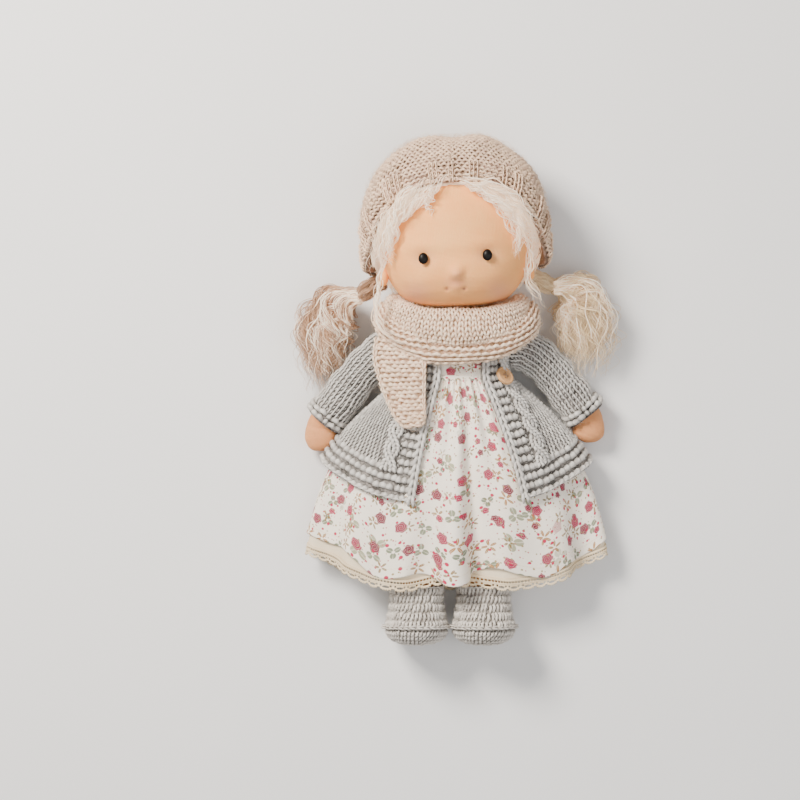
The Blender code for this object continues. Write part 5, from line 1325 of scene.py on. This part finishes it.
def print_cotton(name, base, warm, printed=True):
    """Cream cotton with a small printed pattern of roses, buds and sprays of leaves."""
    look = Look(name)
    u, v = look.uv()
    weave = ((u * 9000.0).sine() * (v * 9000.0).sine()) * 0.5
    broad = look.noise(60, 3, 0.5)
    fine = look.noise(900, 2, 0.5)
    colour = look.mix((broad * 0.8 + fine * 0.25).clamp(), base, warm)
    if printed:
        def scatter(cell, shift, loose=0.85):
            texture = look.node("ShaderNodeTexVoronoi", voronoi_dimensions="2D")
            texture.inputs["Scale"].default_value = 1.0
            texture.inputs["Randomness"].default_value = loose
            place = look.node("ShaderNodeCombineXYZ")
            su, sv = u / cell + shift[0], v / cell + shift[1]
            look.link(su, place.inputs[0])
            look.link(sv, place.inputs[1])
            look.link(place.outputs[0], texture.inputs["Vector"])
            spot = look.node("ShaderNodeSeparateXYZ")
            look.link(texture.outputs["Position"], spot.inputs[0])
            dice = look.node("ShaderNodeSeparateColor")
            look.link(texture.outputs["Color"], dice.inputs[0])
            dx = (su - look.value(spot.outputs[0])) * cell
            dy = (sv - look.value(spot.outputs[1])) * cell
            far = (dx * dx + dy * dy).power(0.5)
            return dx, dy, far, [look.value(o) for o in dice.outputs[:3]]

        wobble = (look.noise(500, 2, 0.5) - 0.5)
        for cell, shift, size, picks in ((0.0170, (3.1, 7.7), 0.0068, 3), (0.0150, (11.3, 2.9), 0.0058, 5)):
            dx, dy, far, dice = scatter(cell, shift)
            turn = dy.angle(dx) + dice[0] * TAU
            petal = (turn * (picks / 2.0)).cosine().absolute().power(2.2 if picks == 5 else 0.8)
            rim = petal * size * (0.75 + dice[1] * 0.4)
            leaf = ((rim - far) / 0.0003).clamp() * far.over(0.0011, 0.0003)
            leaf = leaf * dice[2].over(0.30 if picks == 5 else 0.55, 0.02)
            vein = (turn * (picks / 2.0)).sine().absolute().under(0.10, 0.04) * 0.5
            green = look.mix(dice[1], (0.17, 0.11, 0.02), (0.40, 0.17, 0.03)) if picks == 5 else look.mix(
                dice[1], (0.19, 0.22, 0.14), (0.38, 0.37, 0.24))
            colour = look.mix((leaf * (1.0 - vein) * (1.0 + wobble * 0.5)).clamp(), colour, green)
        for cell, shift, size, share in ((0.0225, (0.4, 0.8), 0.0044, 0.72), (0.0190, (5.2, 9.6), 0.0028, 0.50)):
            dx, dy, far, dice = scatter(cell, shift, 0.75)
            turn = dy.angle(dx)
            rim = (turn * 5.0 + dice[0] * TAU).cosine() * 0.10 + 1.0
            rose = ((rim * size - far) / 0.00025).clamp() * dice[2].under(share, 0.01)
            swirl = (far * (TAU / 0.00135) + turn * 2.0 + dice[1] * TAU + wobble * 3.0).sine()
            light = swirl.over(0.50, 0.25) * far.over(0.0005, 0.0003) * 0.70
            edge = far.over(size * 0.82, size * 0.10) * 0.25
            red = look.mix(dice[1], (0.13, 0.0, 0.016), (0.38, 0.0, 0.055))
            red = look.mix((light * 0.62 + edge * 0.4).clamp(), red, (0.93, 0.60, 0.56))
            colour = look.mix(rose, colour, red)
        for cell, shift, size, tone in ((0.0085, (8.8, 4.1), 0.0013, (0.50, 0.02, 0.07)),
                                        (0.0050, (2.2, 6.6), 0.0006, (0.50, 0.10, 0.10)),
                                        (0.0064, (9.2, 1.6), 0.0008, (0.36, 0.27, 0.12))):
            dx, dy, far, dice = scatter(cell, shift, 0.95)
            dot = ((size * (0.7 + 0.5 * dice[0]) - far) / 0.0002).clamp() * dice[1].under(0.6, 0.02)
            colour = look.mix(dot, colour, tone)
    height = weave + fine * 1.4
    wrinkle = look.noise(130, 4, 0.55, distort=0.6)
    bump = look.bump(wrinkle, 0.0008, 0.35)
    return look.finish(colour, 0.85, look.bump(height, 0.00008, 0.6, after=bump), sheen=0.03)


DRESS_COTTON = print_cotton("rose print cotton", (0.90, 0.80, 0.66), (1.0, 0.93, 0.82))
SLIP_COTTON = print_cotton("cream cotton", (0.74, 0.60, 0.41), (0.88, 0.76, 0.56), printed=False)
LACE_COTTON = print_cotton("ecru lace thread", (0.66, 0.49, 0.29), (0.88, 0.75, 0.53), printed=False)


def girth(grid):
    return np.linalg.norm(np.roll(grid, -1, 1) - grid, axis=2).sum(1).max()


def dress():
    grid = hem_curl(skirt_grid(0.0, 0.992, 170, 1000, 0.0011, wave=1.5), 0.0010)
    high = np.linalg.norm(np.diff(grid[:, 500], axis=0), axis=1).sum()
    wide = girth(grid)
    skirt = shell("dress_cotton", grid, 0.0007, DRESS_COTTON, wrap=True, uv_scale=(wide, high))
    surface = Surface(grid, wrap=True)
    n = int(wide / 0.0022)
    u = (np.arange(n) + 0.5) / n
    half = 0.36 / n
    ends = [surface.frames(u + k * half, np.full(n, 0.955), 0.001, 0.01, 1.0, 0.00018)[0] for k in (-1, 0, 1)]
    co, faces, _ = tubes(np.stack(ends, 1), 0.00013, sides=4)
    seam = build("dress_hem_stitching", co, faces, SLIP_COTTON, uv=np.zeros((len(co), 2)))
    band = torso_at(np.linspace(WAIST_SHARE - 0.030, WAIST_SHARE + 0.012, 8)[:, None],
                    np.linspace(-np.pi, np.pi, 240, endpoint=False)[None], 0.0016)
    belt = shell("dress_waistband", band, 0.0009, DRESS_COTTON, wrap=True, uv_scale=(0.25, 0.006))
    rows, columns = 60, 260
    down = np.linspace(0.02, WAIST_SHARE, rows)[:, None]
    angle = np.linspace(-np.pi, np.pi, columns, endpoint=False)[None]
    top = torso_at(down, angle, 0.0012)
    top = smooth_grid(top, 4, wrap=True)
    crease = 0.0007 * np.sin(40 * angle + 3 * down) * np.clip((down - 0.30) * 6, 0, 1)
    crease += 0.0005 * np.sin(6 * angle + 14 * down)
    across = np.roll(top, -1, 1) - np.roll(top, 1, 1)
    out = unit(np.cross(across, np.gradient(top, axis=0)))
    top = top + out * (crease - 0.0002)[..., None] * np.sign(out[30, 130] @ np.array((0, 0, 1.0)))
    bodice = shell("dress_bodice_cotton", top, 0.0008, DRESS_COTTON, wrap=True, uv_scale=(0.27, 0.045))
    return skirt, seam, belt, bodice, wide, high


skirt, hem_seam, belt, bodice, skirt_wide, skirt_high = dress()
for piece in (belt, bodice):
    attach(piece, "body")
for piece in (skirt, hem_seam):
    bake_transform(piece)
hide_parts("dress_skirt")
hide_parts("dress_bodice", "torso_skin", "torso_stuffing")


def petticoat():
    grid = hem_curl(skirt_grid(0.20, 1.020, 130, 900, -0.0009, covered=0.0, wave=0.35, drop=0.038, tuck=0.05), 0.0004)
    wide, high = girth(grid), np.linalg.norm(np.diff(grid[:, 450], axis=0), axis=1).sum()
    slip = shell("petticoat_cotton", grid, 0.0007, SLIP_COTTON, wrap=True, uv_scale=(wide, high))
    return slip, make_lace()


def make_lace():
    """A cotton lace edging: a row of eyelets, and scallops with a slit, cut out of one woven strip."""
    rows, columns = 34, 2600
    edge = skirt_grid(0, 1.074, rows, columns, 0.0, covered=0.0, wave=0.35, drop=0.038, strip=0.062, tuck=0.05)
    round_length = girth(edge)
    scallops = int(round(round_length / 0.0084))
    eyelets = int(round(round_length / 0.0019))
    u = (np.arange(columns) + 0.5)[None] / columns
    v = np.linspace(0, 1, rows)[:, None]
    high = np.linalg.norm(np.diff(edge[:, columns // 2], axis=0), axis=1).sum()
    wide = round_length / scallops
    x = ((u * scallops) % 1 - 0.5) * wide
    y = v * high
    top = 0.0072
    arch = top + 0.0028 * np.sqrt(np.clip(1 - (x / (wide * 0.5)) ** 2, 0, 1)) + 0.0005 * np.cos(x / wide * TAU * 6)
    keep = y < arch
    hole = ((((u * eyelets) % 1 - 0.5) / 0.32) ** 2 + ((y - 0.0030) / 0.0008) ** 2) < 1
    slit = ((x / 0.0019) ** 2 + ((y - 0.0072) / 0.0008) ** 2) < 1
    pin = (((np.abs(x) - 0.0029) / 0.0005) ** 2 + ((y - 0.0062) / 0.0007) ** 2) < 1
    keep = keep & ~hole & ~slit & ~pin
    solid = keep[:-1] & keep[1:]
    solid = solid & np.roll(solid, -1, 1)
    face = grid_faces(rows, columns, True).reshape(rows - 1, columns, 4)[solid]
    relief = 0.00035 * (np.exp(-((y - arch + 0.0006) / 0.0004) ** 2) + np.exp(-((y - 0.0042) / 0.0003) ** 2)
                        + np.exp(-((y - 0.0015) / 0.0003) ** 2))
    across = np.roll(edge, -1, 1) - np.roll(edge, 1, 1)
    out = unit(np.cross(across, np.gradient(edge, axis=0)))
    out = out * np.sign(out[rows // 2, columns // 2, 2])
    co = (edge + out * relief[..., None]).reshape(-1, 3)
    used, back = np.unique(face, return_inverse=True)
    uv = np.stack([np.broadcast_to(u * round_length, (rows, columns)), np.broadcast_to(y, (rows, columns))], -1)
    lace = build("petticoat_lace_strip", co[used], back.reshape(-1, 4), LACE_COTTON, uv=uv.reshape(-1, 2)[used])
    thick = lace.modifiers.new("thread", "SOLIDIFY")
    thick.thickness = 0.0006
    thick.offset = 0
    return lace


slip, lace = petticoat()
for piece, slot_name in ((slip, "petticoat_cotton"), (lace, "cotton_lace")):
    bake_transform(piece)
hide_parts("petticoat")
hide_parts("petticoat_lace")

# Cardigan
CARDIGAN_FIRST, CARDIGAN_LAST = math.radians(28.4), math.radians(341.0)
CARDIGAN_LIFT = 0.0037


def cardigan_shape():
    """The outside of the cardigan, from its right front edge round the back to its left front edge."""
    columns = 420
    angle = np.linspace(CARDIGAN_FIRST, CARDIGAN_LAST, columns)
    rows = 120
    top = np.linspace(0.057, WAIST_SHARE - 0.015, 34)
    upper = np.array([torso_at(d, angle, 0.0) for d in top])
    hem = 0.575 + 0.07 * np.clip(np.cos(angle), 0, 1)
    lower = np.array([skirt_at(hem * d, angle, 0.0) for d in np.linspace(0.01, 1.0, rows - 34)])
    grid = np.concatenate([upper, lower])
    grid = smooth_grid(grid, 10, columns=False)
    grid = smooth_grid(grid, 6)
    across = np.gradient(grid, axis=1)
    out = unit(np.cross(across, np.gradient(grid, axis=0)))
    middle = grid.mean((0, 1))
    if np.sum(out * (grid - middle)) < 0:
        out = -out
    out = unit(smooth_grid(out, 20, rows=True))
    wave = 0.0010 * np.sin(9 * angle[None] + 3.0 * np.linspace(0, 1, rows)[:, None]) * np.linspace(0, 1, rows)[:, None]
    grid = grid + out * (CARDIGAN_LIFT + wave * 0.8)[..., None]
    t = np.clip((np.linspace(0, 1, rows) - 0.35) / 0.65, 0, 1)[:, None]
    grid[..., 0] += 0.0075 * t**1.6 * np.sign(np.sin(angle)) * np.abs(np.sin(angle)) ** 1.5
    grid[..., 2] = np.maximum(grid[..., 2], 0.0030)
    return grid


cardigan_grid = cardigan_shape()
probe = Surface(cardigan_grid).frames(np.array([0.05]), np.array([0.7]), 0.01, 0.01, 1.0)[3][0]
CARDIGAN_FLIP = probe[2] < 0
if CARDIGAN_FLIP:
    cardigan_grid = cardigan_grid[:, ::-1]
cardigan_surface = Surface(cardigan_grid)


def strand(surface, u, v, wide, thick, lift, tall=1.15):
    """Knit stitches one after another along a path on a surface, turned to follow it."""
    point, across, along, out = surface.frames(u, v, 0.002, 0.01, 1.0, lift)
    ahead = np.gradient(point, axis=0)
    size = np.linalg.norm(ahead, axis=1, keepdims=True)
    ahead = unit(ahead)
    side = unit(np.cross(ahead, out))
    co, faces = instances(KNIT[0], KNIT[1], point, side * wide, ahead * size * tall, out * thick)
    z = KNIT[0][:, 2]
    # Painted shade: each stitch is darker low down and lighter on its crest.
    shade = np.tile(0.45 + 0.55 * (z - z.min()) / (z.max() - z.min()), len(u))
    return co, faces, shade, np.repeat(RNG.random(len(u)), len(z))


def cardigan():
    surface = cardigan_surface
    length = np.linalg.norm(np.diff(cardigan_grid[:, 40], axis=0), axis=1).sum()
    count = int(round(length / 0.0034))
    rows = (np.arange(count) + 0.5) / count
    high = 1.0 / count
    u_fine = np.linspace(0, 1, 900)
    hem_rows = 7
    plain, purl_low, purl_high, hem = [], [], [], []
    band, cable = 0.0165, 0.0150
    wales = 82
    edges = {0: [], 1: []}
    for k, v in enumerate(rows):
        width = np.concatenate([[0], np.cumsum(np.linalg.norm(np.diff(surface.at(u_fine, v), axis=0), axis=1))])
        whole = width[-1]

        def at(metres):
            return np.interp(metres, width, u_fine)

        grow = 0.72 + 0.28 * min(1.0, v * 1.6)
        b, c = band * grow, cable * grow
        for side in (0, 1):
            place = (lambda m: at(m)) if side == 0 else (lambda m: at(whole - m))
            edges[side].append((v, place(b + c * 0.5), place(b), place(b + c), place(0.0022)))
            n = 3
            m = 0.0036 + (np.arange(n) + 0.5) * (b - 0.0036) / n
            du = abs(place(m + (b - 0.0036) / n) - place(m)) * np.ones(n)
            if (count - 1 - k) % 2 == 0:
                purl_high.append(np.stack([place(m), np.full(n, v), du, np.full(n, high * 1.75), m * 0], -1))
            if k < count - hem_rows:
                m = b + np.array((0.07, 0.93)) * c
                du = abs(place(m + 0.1 * c) - place(m)) * np.ones(2)
                purl_low.append(np.stack([place(m), np.full(2, v), du, np.full(2, high), m * 0], -1))
        if k < count - hem_rows:
            m = b + c + (np.arange(wales) + 0.5) * (whole - 2 * (b + c)) / wales
            u = at(m)
            du = np.gradient(u)
            plain.append(np.stack([u, np.full(wales, v), du, np.full(wales, high), m * 0], -1))
        elif (count - 1 - k) % 2 == 0:
            n = int((whole - 2 * b) / 0.0056)
            m = b + (np.arange(n) + 0.5 * (k // 2 % 2) + 0.25) * (whole - 2 * b) / n
            u = at(m)
            hem.append(np.stack([u, np.full(n, v), np.gradient(u), np.full(n, high * 1.75), m * 0], -1))
    lots = [stitches(surface, np.concatenate(plain), WALE, 0.0046, lift=-0.0010, wide=1.0, tall=1.05),
            stitches(surface, np.concatenate(purl_low), PURL, 0.0022, lift=-0.0012),
            stitches(surface, np.concatenate(purl_high), BUMP, 0.0046, lift=-0.0008, tall=1.12),
            stitches(surface, np.concatenate(hem), BUMP, 0.0050, lift=-0.0012, tall=1.12)]
    for side in (0, 1):
        table = np.array(edges[side])
        chain = np.linspace(0.012, 0.985, int(length / 0.0058))
        u = np.interp(chain, table[:, 0], table[:, 4])
        lots.append(strand(surface, u, chain, 0.0062, 0.0058, 0.0008, tall=1.2))
        stop = table[count - hem_rows, 0]
        v = np.linspace(0.03, stop, int(length * stop / 0.0027))
        middle = np.interp(v, table[:, 0], table[:, 1])
        half = np.abs(np.interp(v, table[:, 0], table[:, 3] - table[:, 2])) * 0.235
        turn = TAU * v * length / 0.030
        for phase in (0.0, np.pi):
            sway, rise = np.sin(turn + phase), np.cos(turn + phase)
            lots.append(strand(surface, middle + half * sway, v, 0.0060, 0.0056, 0.0010 + 0.0014 * rise, tall=1.35))
    lip = cells(surface, [0.994], high * 1.3, 0.0056)
    lots.append(stitches(surface, lip, PURL, 0.0046, lift=-0.0002))
    made = knitted("cardigan_stitches", lots, CARDIGAN_WOOL)
    # The backing under the stitches has a low shade value: painted shade that shows dark in the gaps between the wales.
    base = shell("cardigan_wool", inset(cardigan_grid, 0.0012) if not CARDIGAN_FLIP else inset(cardigan_grid, -0.0012),
                 0.0014, CARDIGAN_WOOL, attributes={"shade": np.full(cardigan_grid.shape[:2], 0.27),
                                                    "tint": np.full(cardigan_grid.shape[:2], 0.4)})
    loose = fuzz("cardigan_fuzz", surface, 5200, 0.0040, 0.00005, CARDIGAN_WOOL, edge=(0.0, 1.0, 0.02, 1.0),
                 lift=0.0004)
    return made, base, loose


cardigan_made = cardigan()
for piece in cardigan_made:
    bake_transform(piece)
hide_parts("cardigan_body")

# Arms
ARMS = {-1: dict(cuff=(-0.1052, -0.0235, 0.0163), way=(-0.62, -0.78, -0.10),
                 hand=((-0.1072, -0.0326, 0.0155), (-0.1066, -0.0395, 0.0150)), tip=(-0.1050, -0.0465, 0.0146)),
        1: dict(cuff=(0.1028, -0.0185, 0.0163), way=(0.62, -0.78, -0.10),
                hand=((0.1044, -0.0292, 0.0155), (0.1034, -0.0335, 0.0150)), tip=(0.1020, -0.0398, 0.0146))}


def rings(line, half_side, half_up, columns, start_angle=0.0, up=(0, 0, 1.0)):
    """Oval rings square to a path, one for each of its points."""
    along = unit(np.gradient(line, axis=0))
    lift = np.asarray(up, float) - along * (along @ np.asarray(up, float))[:, None]
    lift = unit(lift)
    side = np.cross(along, lift)
    turn = TAU * np.arange(columns) / columns + start_angle
    return line[:, None] + side[:, None] * (half_side[:, None] * np.sin(turn))[..., None] + \
        lift[:, None] * (half_up[:, None] * np.cos(turn))[..., None]


def arm(sign):
    side = "left" if sign < 0 else "right"
    numbers = ARMS[sign]
    cuff, way = np.array(numbers["cuff"]), np.array(numbers["way"])
    start = np.array((sign * 0.0439, 0.0345, 0.034))
    control = [start, start + np.array((sign * 0.022, 0, 0)), cuff - way * 0.036, cuff]
    t = np.linspace(-0.03, 1, 60)[:, None]
    line = ((1 - t) ** 3 * control[0] + 3 * (1 - t) ** 2 * t * control[1] + 3 * (1 - t) * t**2 * control[2]
            + t**3 * control[3])
    s = np.linspace(0, 1, 60)
    radius = 0.0154 + 0.0004 * np.sin(9 * s) - 0.0010 * np.exp(-((s - 0.90) / 0.06) ** 2) + 0.0006 * s**8
    grid = rings(line, radius, radius, 90)
    wrinkle = 0.0008 * np.sin(TAU * s * 4.5 + 1.0)[:, None] * np.sin(TAU * np.arange(90) / 90 * 2 + sign)[None]
    centre = line[:, None]
    grid = centre + (grid - centre) * (1 + wrinkle / 0.0154)[..., None]
    grid[..., 2] = np.maximum(grid[..., 2], 0.0016)
    grid = outward(grid)
    surface = Surface(grid, wrap=True)
    length = np.linalg.norm(np.diff(line, axis=0), axis=1).sum()
    count = int(round((length - 0.008) / 0.0037))
    wales = 25
    end = 1 - 0.008 / length
    v = (np.arange(count) + 0.5) / count * end
    uu, vv = np.meshgrid((np.arange(wales) + 0.5) / wales, v)
    places = np.stack([uu.ravel(), vv.ravel(), np.full(uu.size, 1.0 / wales), np.full(uu.size, end / count),
                       np.zeros(uu.size)], -1)
    lots = [stitches(surface, places, WALE, 0.0040, lift=-0.0010, tall=1.05)]
    for k, v in enumerate((1 - 0.0062 / length, 1 - 0.0024 / length)):
        ring = cells(surface, [v], 0.0046 / length, 0.0060, wrap=True)
        lots.append(stitches(surface, ring, BUMP, 0.0046, lift=-0.0002, tall=1.0))
    made = knitted("sleeve_stitches_" + side, lots, CARDIGAN_WOOL)
    # The backing under the sleeve's stitches has a low shade value: painted shade that shows in the gaps.
    base = shell("sleeve_wool_" + side, inset(grid, 0.0011, True), 0.0014, CARDIGAN_WOOL, wrap=True,
                 attributes={"shade": np.full(grid.shape[:2], 0.14), "tint": np.full(grid.shape[:2], 0.4)})
    loose = fuzz("sleeve_fuzz_" + side, surface, 1500, 0.0038, 0.00005, CARDIGAN_WOOL, lift=0.0004)
    for piece in (made, base, loose):
        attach(piece, "arm_" + side)
    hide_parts("sleeve_" + side)
    path = spline([line[-16], cuff, *numbers["hand"], numbers["tip"]], 70)
    q = np.linspace(0, 1, 70)
    wide = np.interp(q, [0, 0.30, 0.52, 0.70, 0.86, 0.95, 1.0], [0.0108, 0.0108, 0.0124, 0.0130, 0.0112, 0.0076, 0.0012])
    deep = np.interp(q, [0, 0.30, 0.52, 0.70, 0.86, 0.95, 1.0], [0.0108, 0.0106, 0.0100, 0.0097, 0.0085, 0.0060, 0.0010])
    hand = rings(path, wide, deep, 84)
    hand = smooth_grid(hand, 3, wrap=True, columns=False)
    middle = path[:, None]
    ang = TAU * np.arange(84) / 84
    thumb = 0.10 * np.exp(-((q[:, None] - 0.66) / 0.10) ** 2) * np.exp(-(((ang[None] + sign * 1.0) % TAU - np.pi) / 0.7) ** 2)
    crease = -0.05 * np.exp(-((q[:, None] - 0.50) / 0.03) ** 2) * (0.5 + 0.5 * np.cos(ang[None]))
    hand = middle + (hand - middle) * (1 + thumb + crease)[..., None]
    hand[..., 2] = np.maximum(hand[..., 2], 0.0045)
    hand = outward(hand)
    mitt = closed_loft("hand_jersey_" + side, hand, HAND_JERSEY, (0.07, 0.05))
    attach(mitt, "arm_" + side)
    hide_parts("arm_skin_" + side, "arm_stuffing_" + side)


for sign in (-1, 1):
    arm(sign)

# Legs and boots
BOOT_X = {-1: -0.0318, 1: 0.0212}
BOOT_TOP, BOOT_RIDGE, BOOT_BOTTOM = -0.1520, -0.1868, -0.2005


def cast_rings(node, centres, columns, square=(0, 1.0, 0), smooth=4):
    """Rings of points where rays come in to a node from all round each centre."""
    found = np.empty((len(centres), columns, 3))
    for j, centre in enumerate(centres):
        for k in range(columns):
            turn = TAU * k / columns + math.pi
            way = (math.sin(turn), 0.0, math.cos(turn))
            spot = reach(node, centre, way, 0.08)
            found[j, k] = spot if spot is not None else (found[j - 1, k] if j else centre)
    return smooth_grid(found, smooth, wrap=True)


def leg(sign):
    side = "left" if sign < 0 else "right"
    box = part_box("leg_skin_" + side)
    ys = np.linspace(box[1][1] - 0.004, -0.170, 60)
    t = (ys - ys[0]) / (ys[-1] - ys[0])
    hip = np.array((sign * 0.0192, 0, 0.034))
    foot = np.array((BOOT_X[sign], 0, 0.0245))
    centres = hip * (1 - t[:, None]) + foot * t[:, None]
    centres[:, 1] = ys
    grid = cast_rings("leg_skin_" + side, centres, 80)
    made = closed_loft("leg_jersey_" + side, outward(grid), HAND_JERSEY, (0.09, 0.12))
    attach(made, "leg_" + side)
    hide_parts("leg_skin_" + side, "leg_stuffing_" + side)


def boot(sign):
    side = "left" if sign < 0 else "right"
    ys = np.linspace(BOOT_TOP - 0.0012, BOOT_RIDGE + 0.0012, 36)
    centres = np.stack([np.full(36, BOOT_X[sign]), ys, np.full(36, 0.0262)], -1)
    grid = cast_rings("boot_" + side, centres, 110, smooth=6)
    grid = outward(grid)
    surface = Surface(grid, wrap=True)
    lots = []
    count = 5
    high = 1.0 / count
    rows = (np.arange(count) + 0.5) / count
    lots.append(stitches(surface, cells(surface, rows, high * 0.92, 0.0033, wrap=True), TREBLE, 0.0042,
                         lift=-0.0012, tall=1.0, loose=0.07))
    lots.append(stitches(surface, cells(surface, [0.985], 0.12, 0.0050, wrap=True), KNIT_SIDE, 0.0056, lift=0.0009,
                         tall=1.1))
    lots.append(stitches(surface, cells(surface, [0.02], 0.10, 0.0040, wrap=True), PURL, 0.0040, lift=-0.0002, tall=1.1))
    edge = grid[-1]
    middle = np.array((BOOT_X[sign], 0, 0.0330))
    turns = 22
    dome = np.empty((turns, 110, 3))
    for k in range(turns):
        a = 0.5 * np.pi * k / (turns - 1)
        share = math.cos(a) ** 0.85
        flat = middle + (edge - middle) * max(share, 0.015)
        dome[k] = flat
        dome[k, :, 1] = BOOT_RIDGE - 0.0004 - (BOOT_RIDGE - BOOT_BOTTOM - 0.0022) * math.sin(a) ** 0.9
    dome = outward(dome)
    sole = Surface(dome, wrap=True)
    n = 5
    rib = cells(sole, (np.arange(n) + 0.5) / n, 1.0 / n, 0.0031, stagger=True, wrap=True)
    lots.append(stitches(sole, rib, TREBLE, 0.0026, lift=-0.0008))
    upper, under = lots[:-1], lots[-1:]
    made = knitted("boot_stitches_" + side, upper, BOOT_WOOL)
    bottom = knitted("boot_sole_stitches_" + side, under, BOOT_WOOL)
    # The wall under the stitches and the sole pad carry lowered shade values: painted shade that shows between the
    # stitches.
    tone = {"shade": np.full(grid.shape[:2], 0.34), "tint": np.full(grid.shape[:2], 0.4)}
    wall = shell("boot_wool_" + side, inset(grid, 0.0014, True), 0.0012, BOOT_WOOL, wrap=True, attributes=tone)
    pad = closed_loft("boot_sole_wool_" + side, inset(dome, 0.0010, True), BOOT_WOOL, (0.1, 0.02),
                      attributes={"shade": np.full(turns * 110 + 2, 0.50), "tint": np.full(turns * 110 + 2, 0.4)})
    loose = fuzz("boot_fuzz_" + side, surface, 1300, 0.0034, 0.00005, BOOT_WOOL, lift=0.0004)
    for piece in (made, bottom, wall, pad, loose):
        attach(piece, "leg_" + side)
    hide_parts("boot_" + side)
    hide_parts("boot_sole_" + side)


for sign in (-1, 1):
    leg(sign)
    boot(sign)

# Neck and button
neck_centre = np.array((0.001, 0.0658, 0.038))
theta = np.linspace(0.05, np.pi - 0.05, 50)[:, None]
phi = TAU * np.arange(80)[None] / 80
neck_grid = neck_centre + 0.0139 * np.stack([np.sin(theta) * np.cos(phi), np.cos(theta) + 0 * phi,
                                             np.sin(theta) * np.sin(phi)], -1)
neck_grid += (0.0003 * np.sin(6 * phi + 5 * theta))[..., None] * unit(neck_grid - neck_centre)
neck = closed_loft("neck_jersey", outward(neck_grid), HAND_JERSEY, (0.09, 0.04))
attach(neck, "neck")
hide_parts("neck_roll")

wood = Look("turned beech")
place = wood.node("ShaderNodeMapping")
wood.link(wood.position(), place.inputs[0])
place.inputs["Scale"].default_value = (1.0, 0.16, 1.0)
grain = wood.noise(900, 4, 0.6, vector=place.outputs[0], distort=1.2)
pores = wood.noise(2400, 2, 0.7, vector=place.outputs[0]).over(0.62, 0.06)
tone = wood.mix((grain * 1.3 - 0.15).clamp(), (0.52, 0.235, 0.08), (0.82, 0.49, 0.22))
tone = wood.mix(pores * 0.5, tone, (0.33, 0.19, 0.10))
wood.finish(tone, 0.42, wood.bump(grain + pores * -0.6, 0.0001, 0.6))
wood.shader.inputs["Coat Weight"].default_value = 0.15
thread = Look("brown thread")
twist = thread.noise(2600, 2, 0.6, distort=1.0)
thread.finish(thread.mix(twist, (0.16, 0.09, 0.05), (0.42, 0.27, 0.16)), 0.8, thread.bump(twist, 0.0001, 0.8))
for name, look in (("cardigan_button", wood), ("button_thread", thread)):
    for spot in bpy.data.objects[name].material_slots:
        spot.material = look.material

# Floor, light and camera
ground = Look("pale paper")
speck = ground.noise(700, 3, 0.6)
broad = ground.noise(6, 3, 0.5)
ground.finish(ground.mix((broad * 0.7 + speck * 0.3).clamp(), (0.80, 0.795, 0.785), (0.86, 0.855, 0.85)), 0.9,
              ground.bump(speck, 0.0001, 0.2))
span = np.linspace(-1, 1, 60)
fx, fy = np.meshgrid(span * 3.0, span * 3.0)
floor = build("floor", np.stack([fx, fy, 0 * fx], -1).reshape(-1, 3), grid_faces(60, 60), ground.material)
floor.location.z = -FLOOR_GAP - 0.0001


def lamp(name, place, aim, size, watts, colour):
    data = bpy.data.lights.new(name, "AREA")
    data.shape = "SQUARE"
    data.size = size
    data.energy = watts
    data.color = colour
    made = bpy.data.objects.new(name, data)
    made.location = place
    made.rotation_euler = (Vector(aim) - Vector(place)).to_track_quat("-Z", "Y").to_euler()
    bpy.context.scene.collection.objects.link(made)
    return made


key = lamp("window", (-0.75, 0.75, 1.15), (0, 0, 0), 0.50, 51.0, (1.0, 0.94, 0.865))
fill = lamp("fill", (0.9, -0.2, 1.3), (0, 0, 0), 1.2, 8.0, (0.98, 0.98, 1.0))
top = lamp("overhead", (0.0, -0.6, 1.6), (0, 0, 0), 1.6, 12.0, (1.0, 0.97, 0.93))

world = bpy.data.worlds.new("room")
bpy.context.scene.world = world
world.use_nodes = True
world.node_tree.nodes["Background"].inputs[0].default_value = (0.92, 0.93, 0.95, 1.0)
world.node_tree.nodes["Background"].inputs[1].default_value = 0.34

camera_data = bpy.data.cameras.new("camera")
camera_data.sensor_width = 36.0
camera_data.lens = 36.0 * (CAMERA_HEIGHT - PLANE_HEIGHT) / (800 * SCALE)
camera = bpy.data.objects.new("camera", camera_data)
camera.location = (CAMERA_X, CAMERA_Y, CAMERA_HEIGHT)
bpy.context.scene.collection.objects.link(camera)
bpy.context.scene.camera = camera
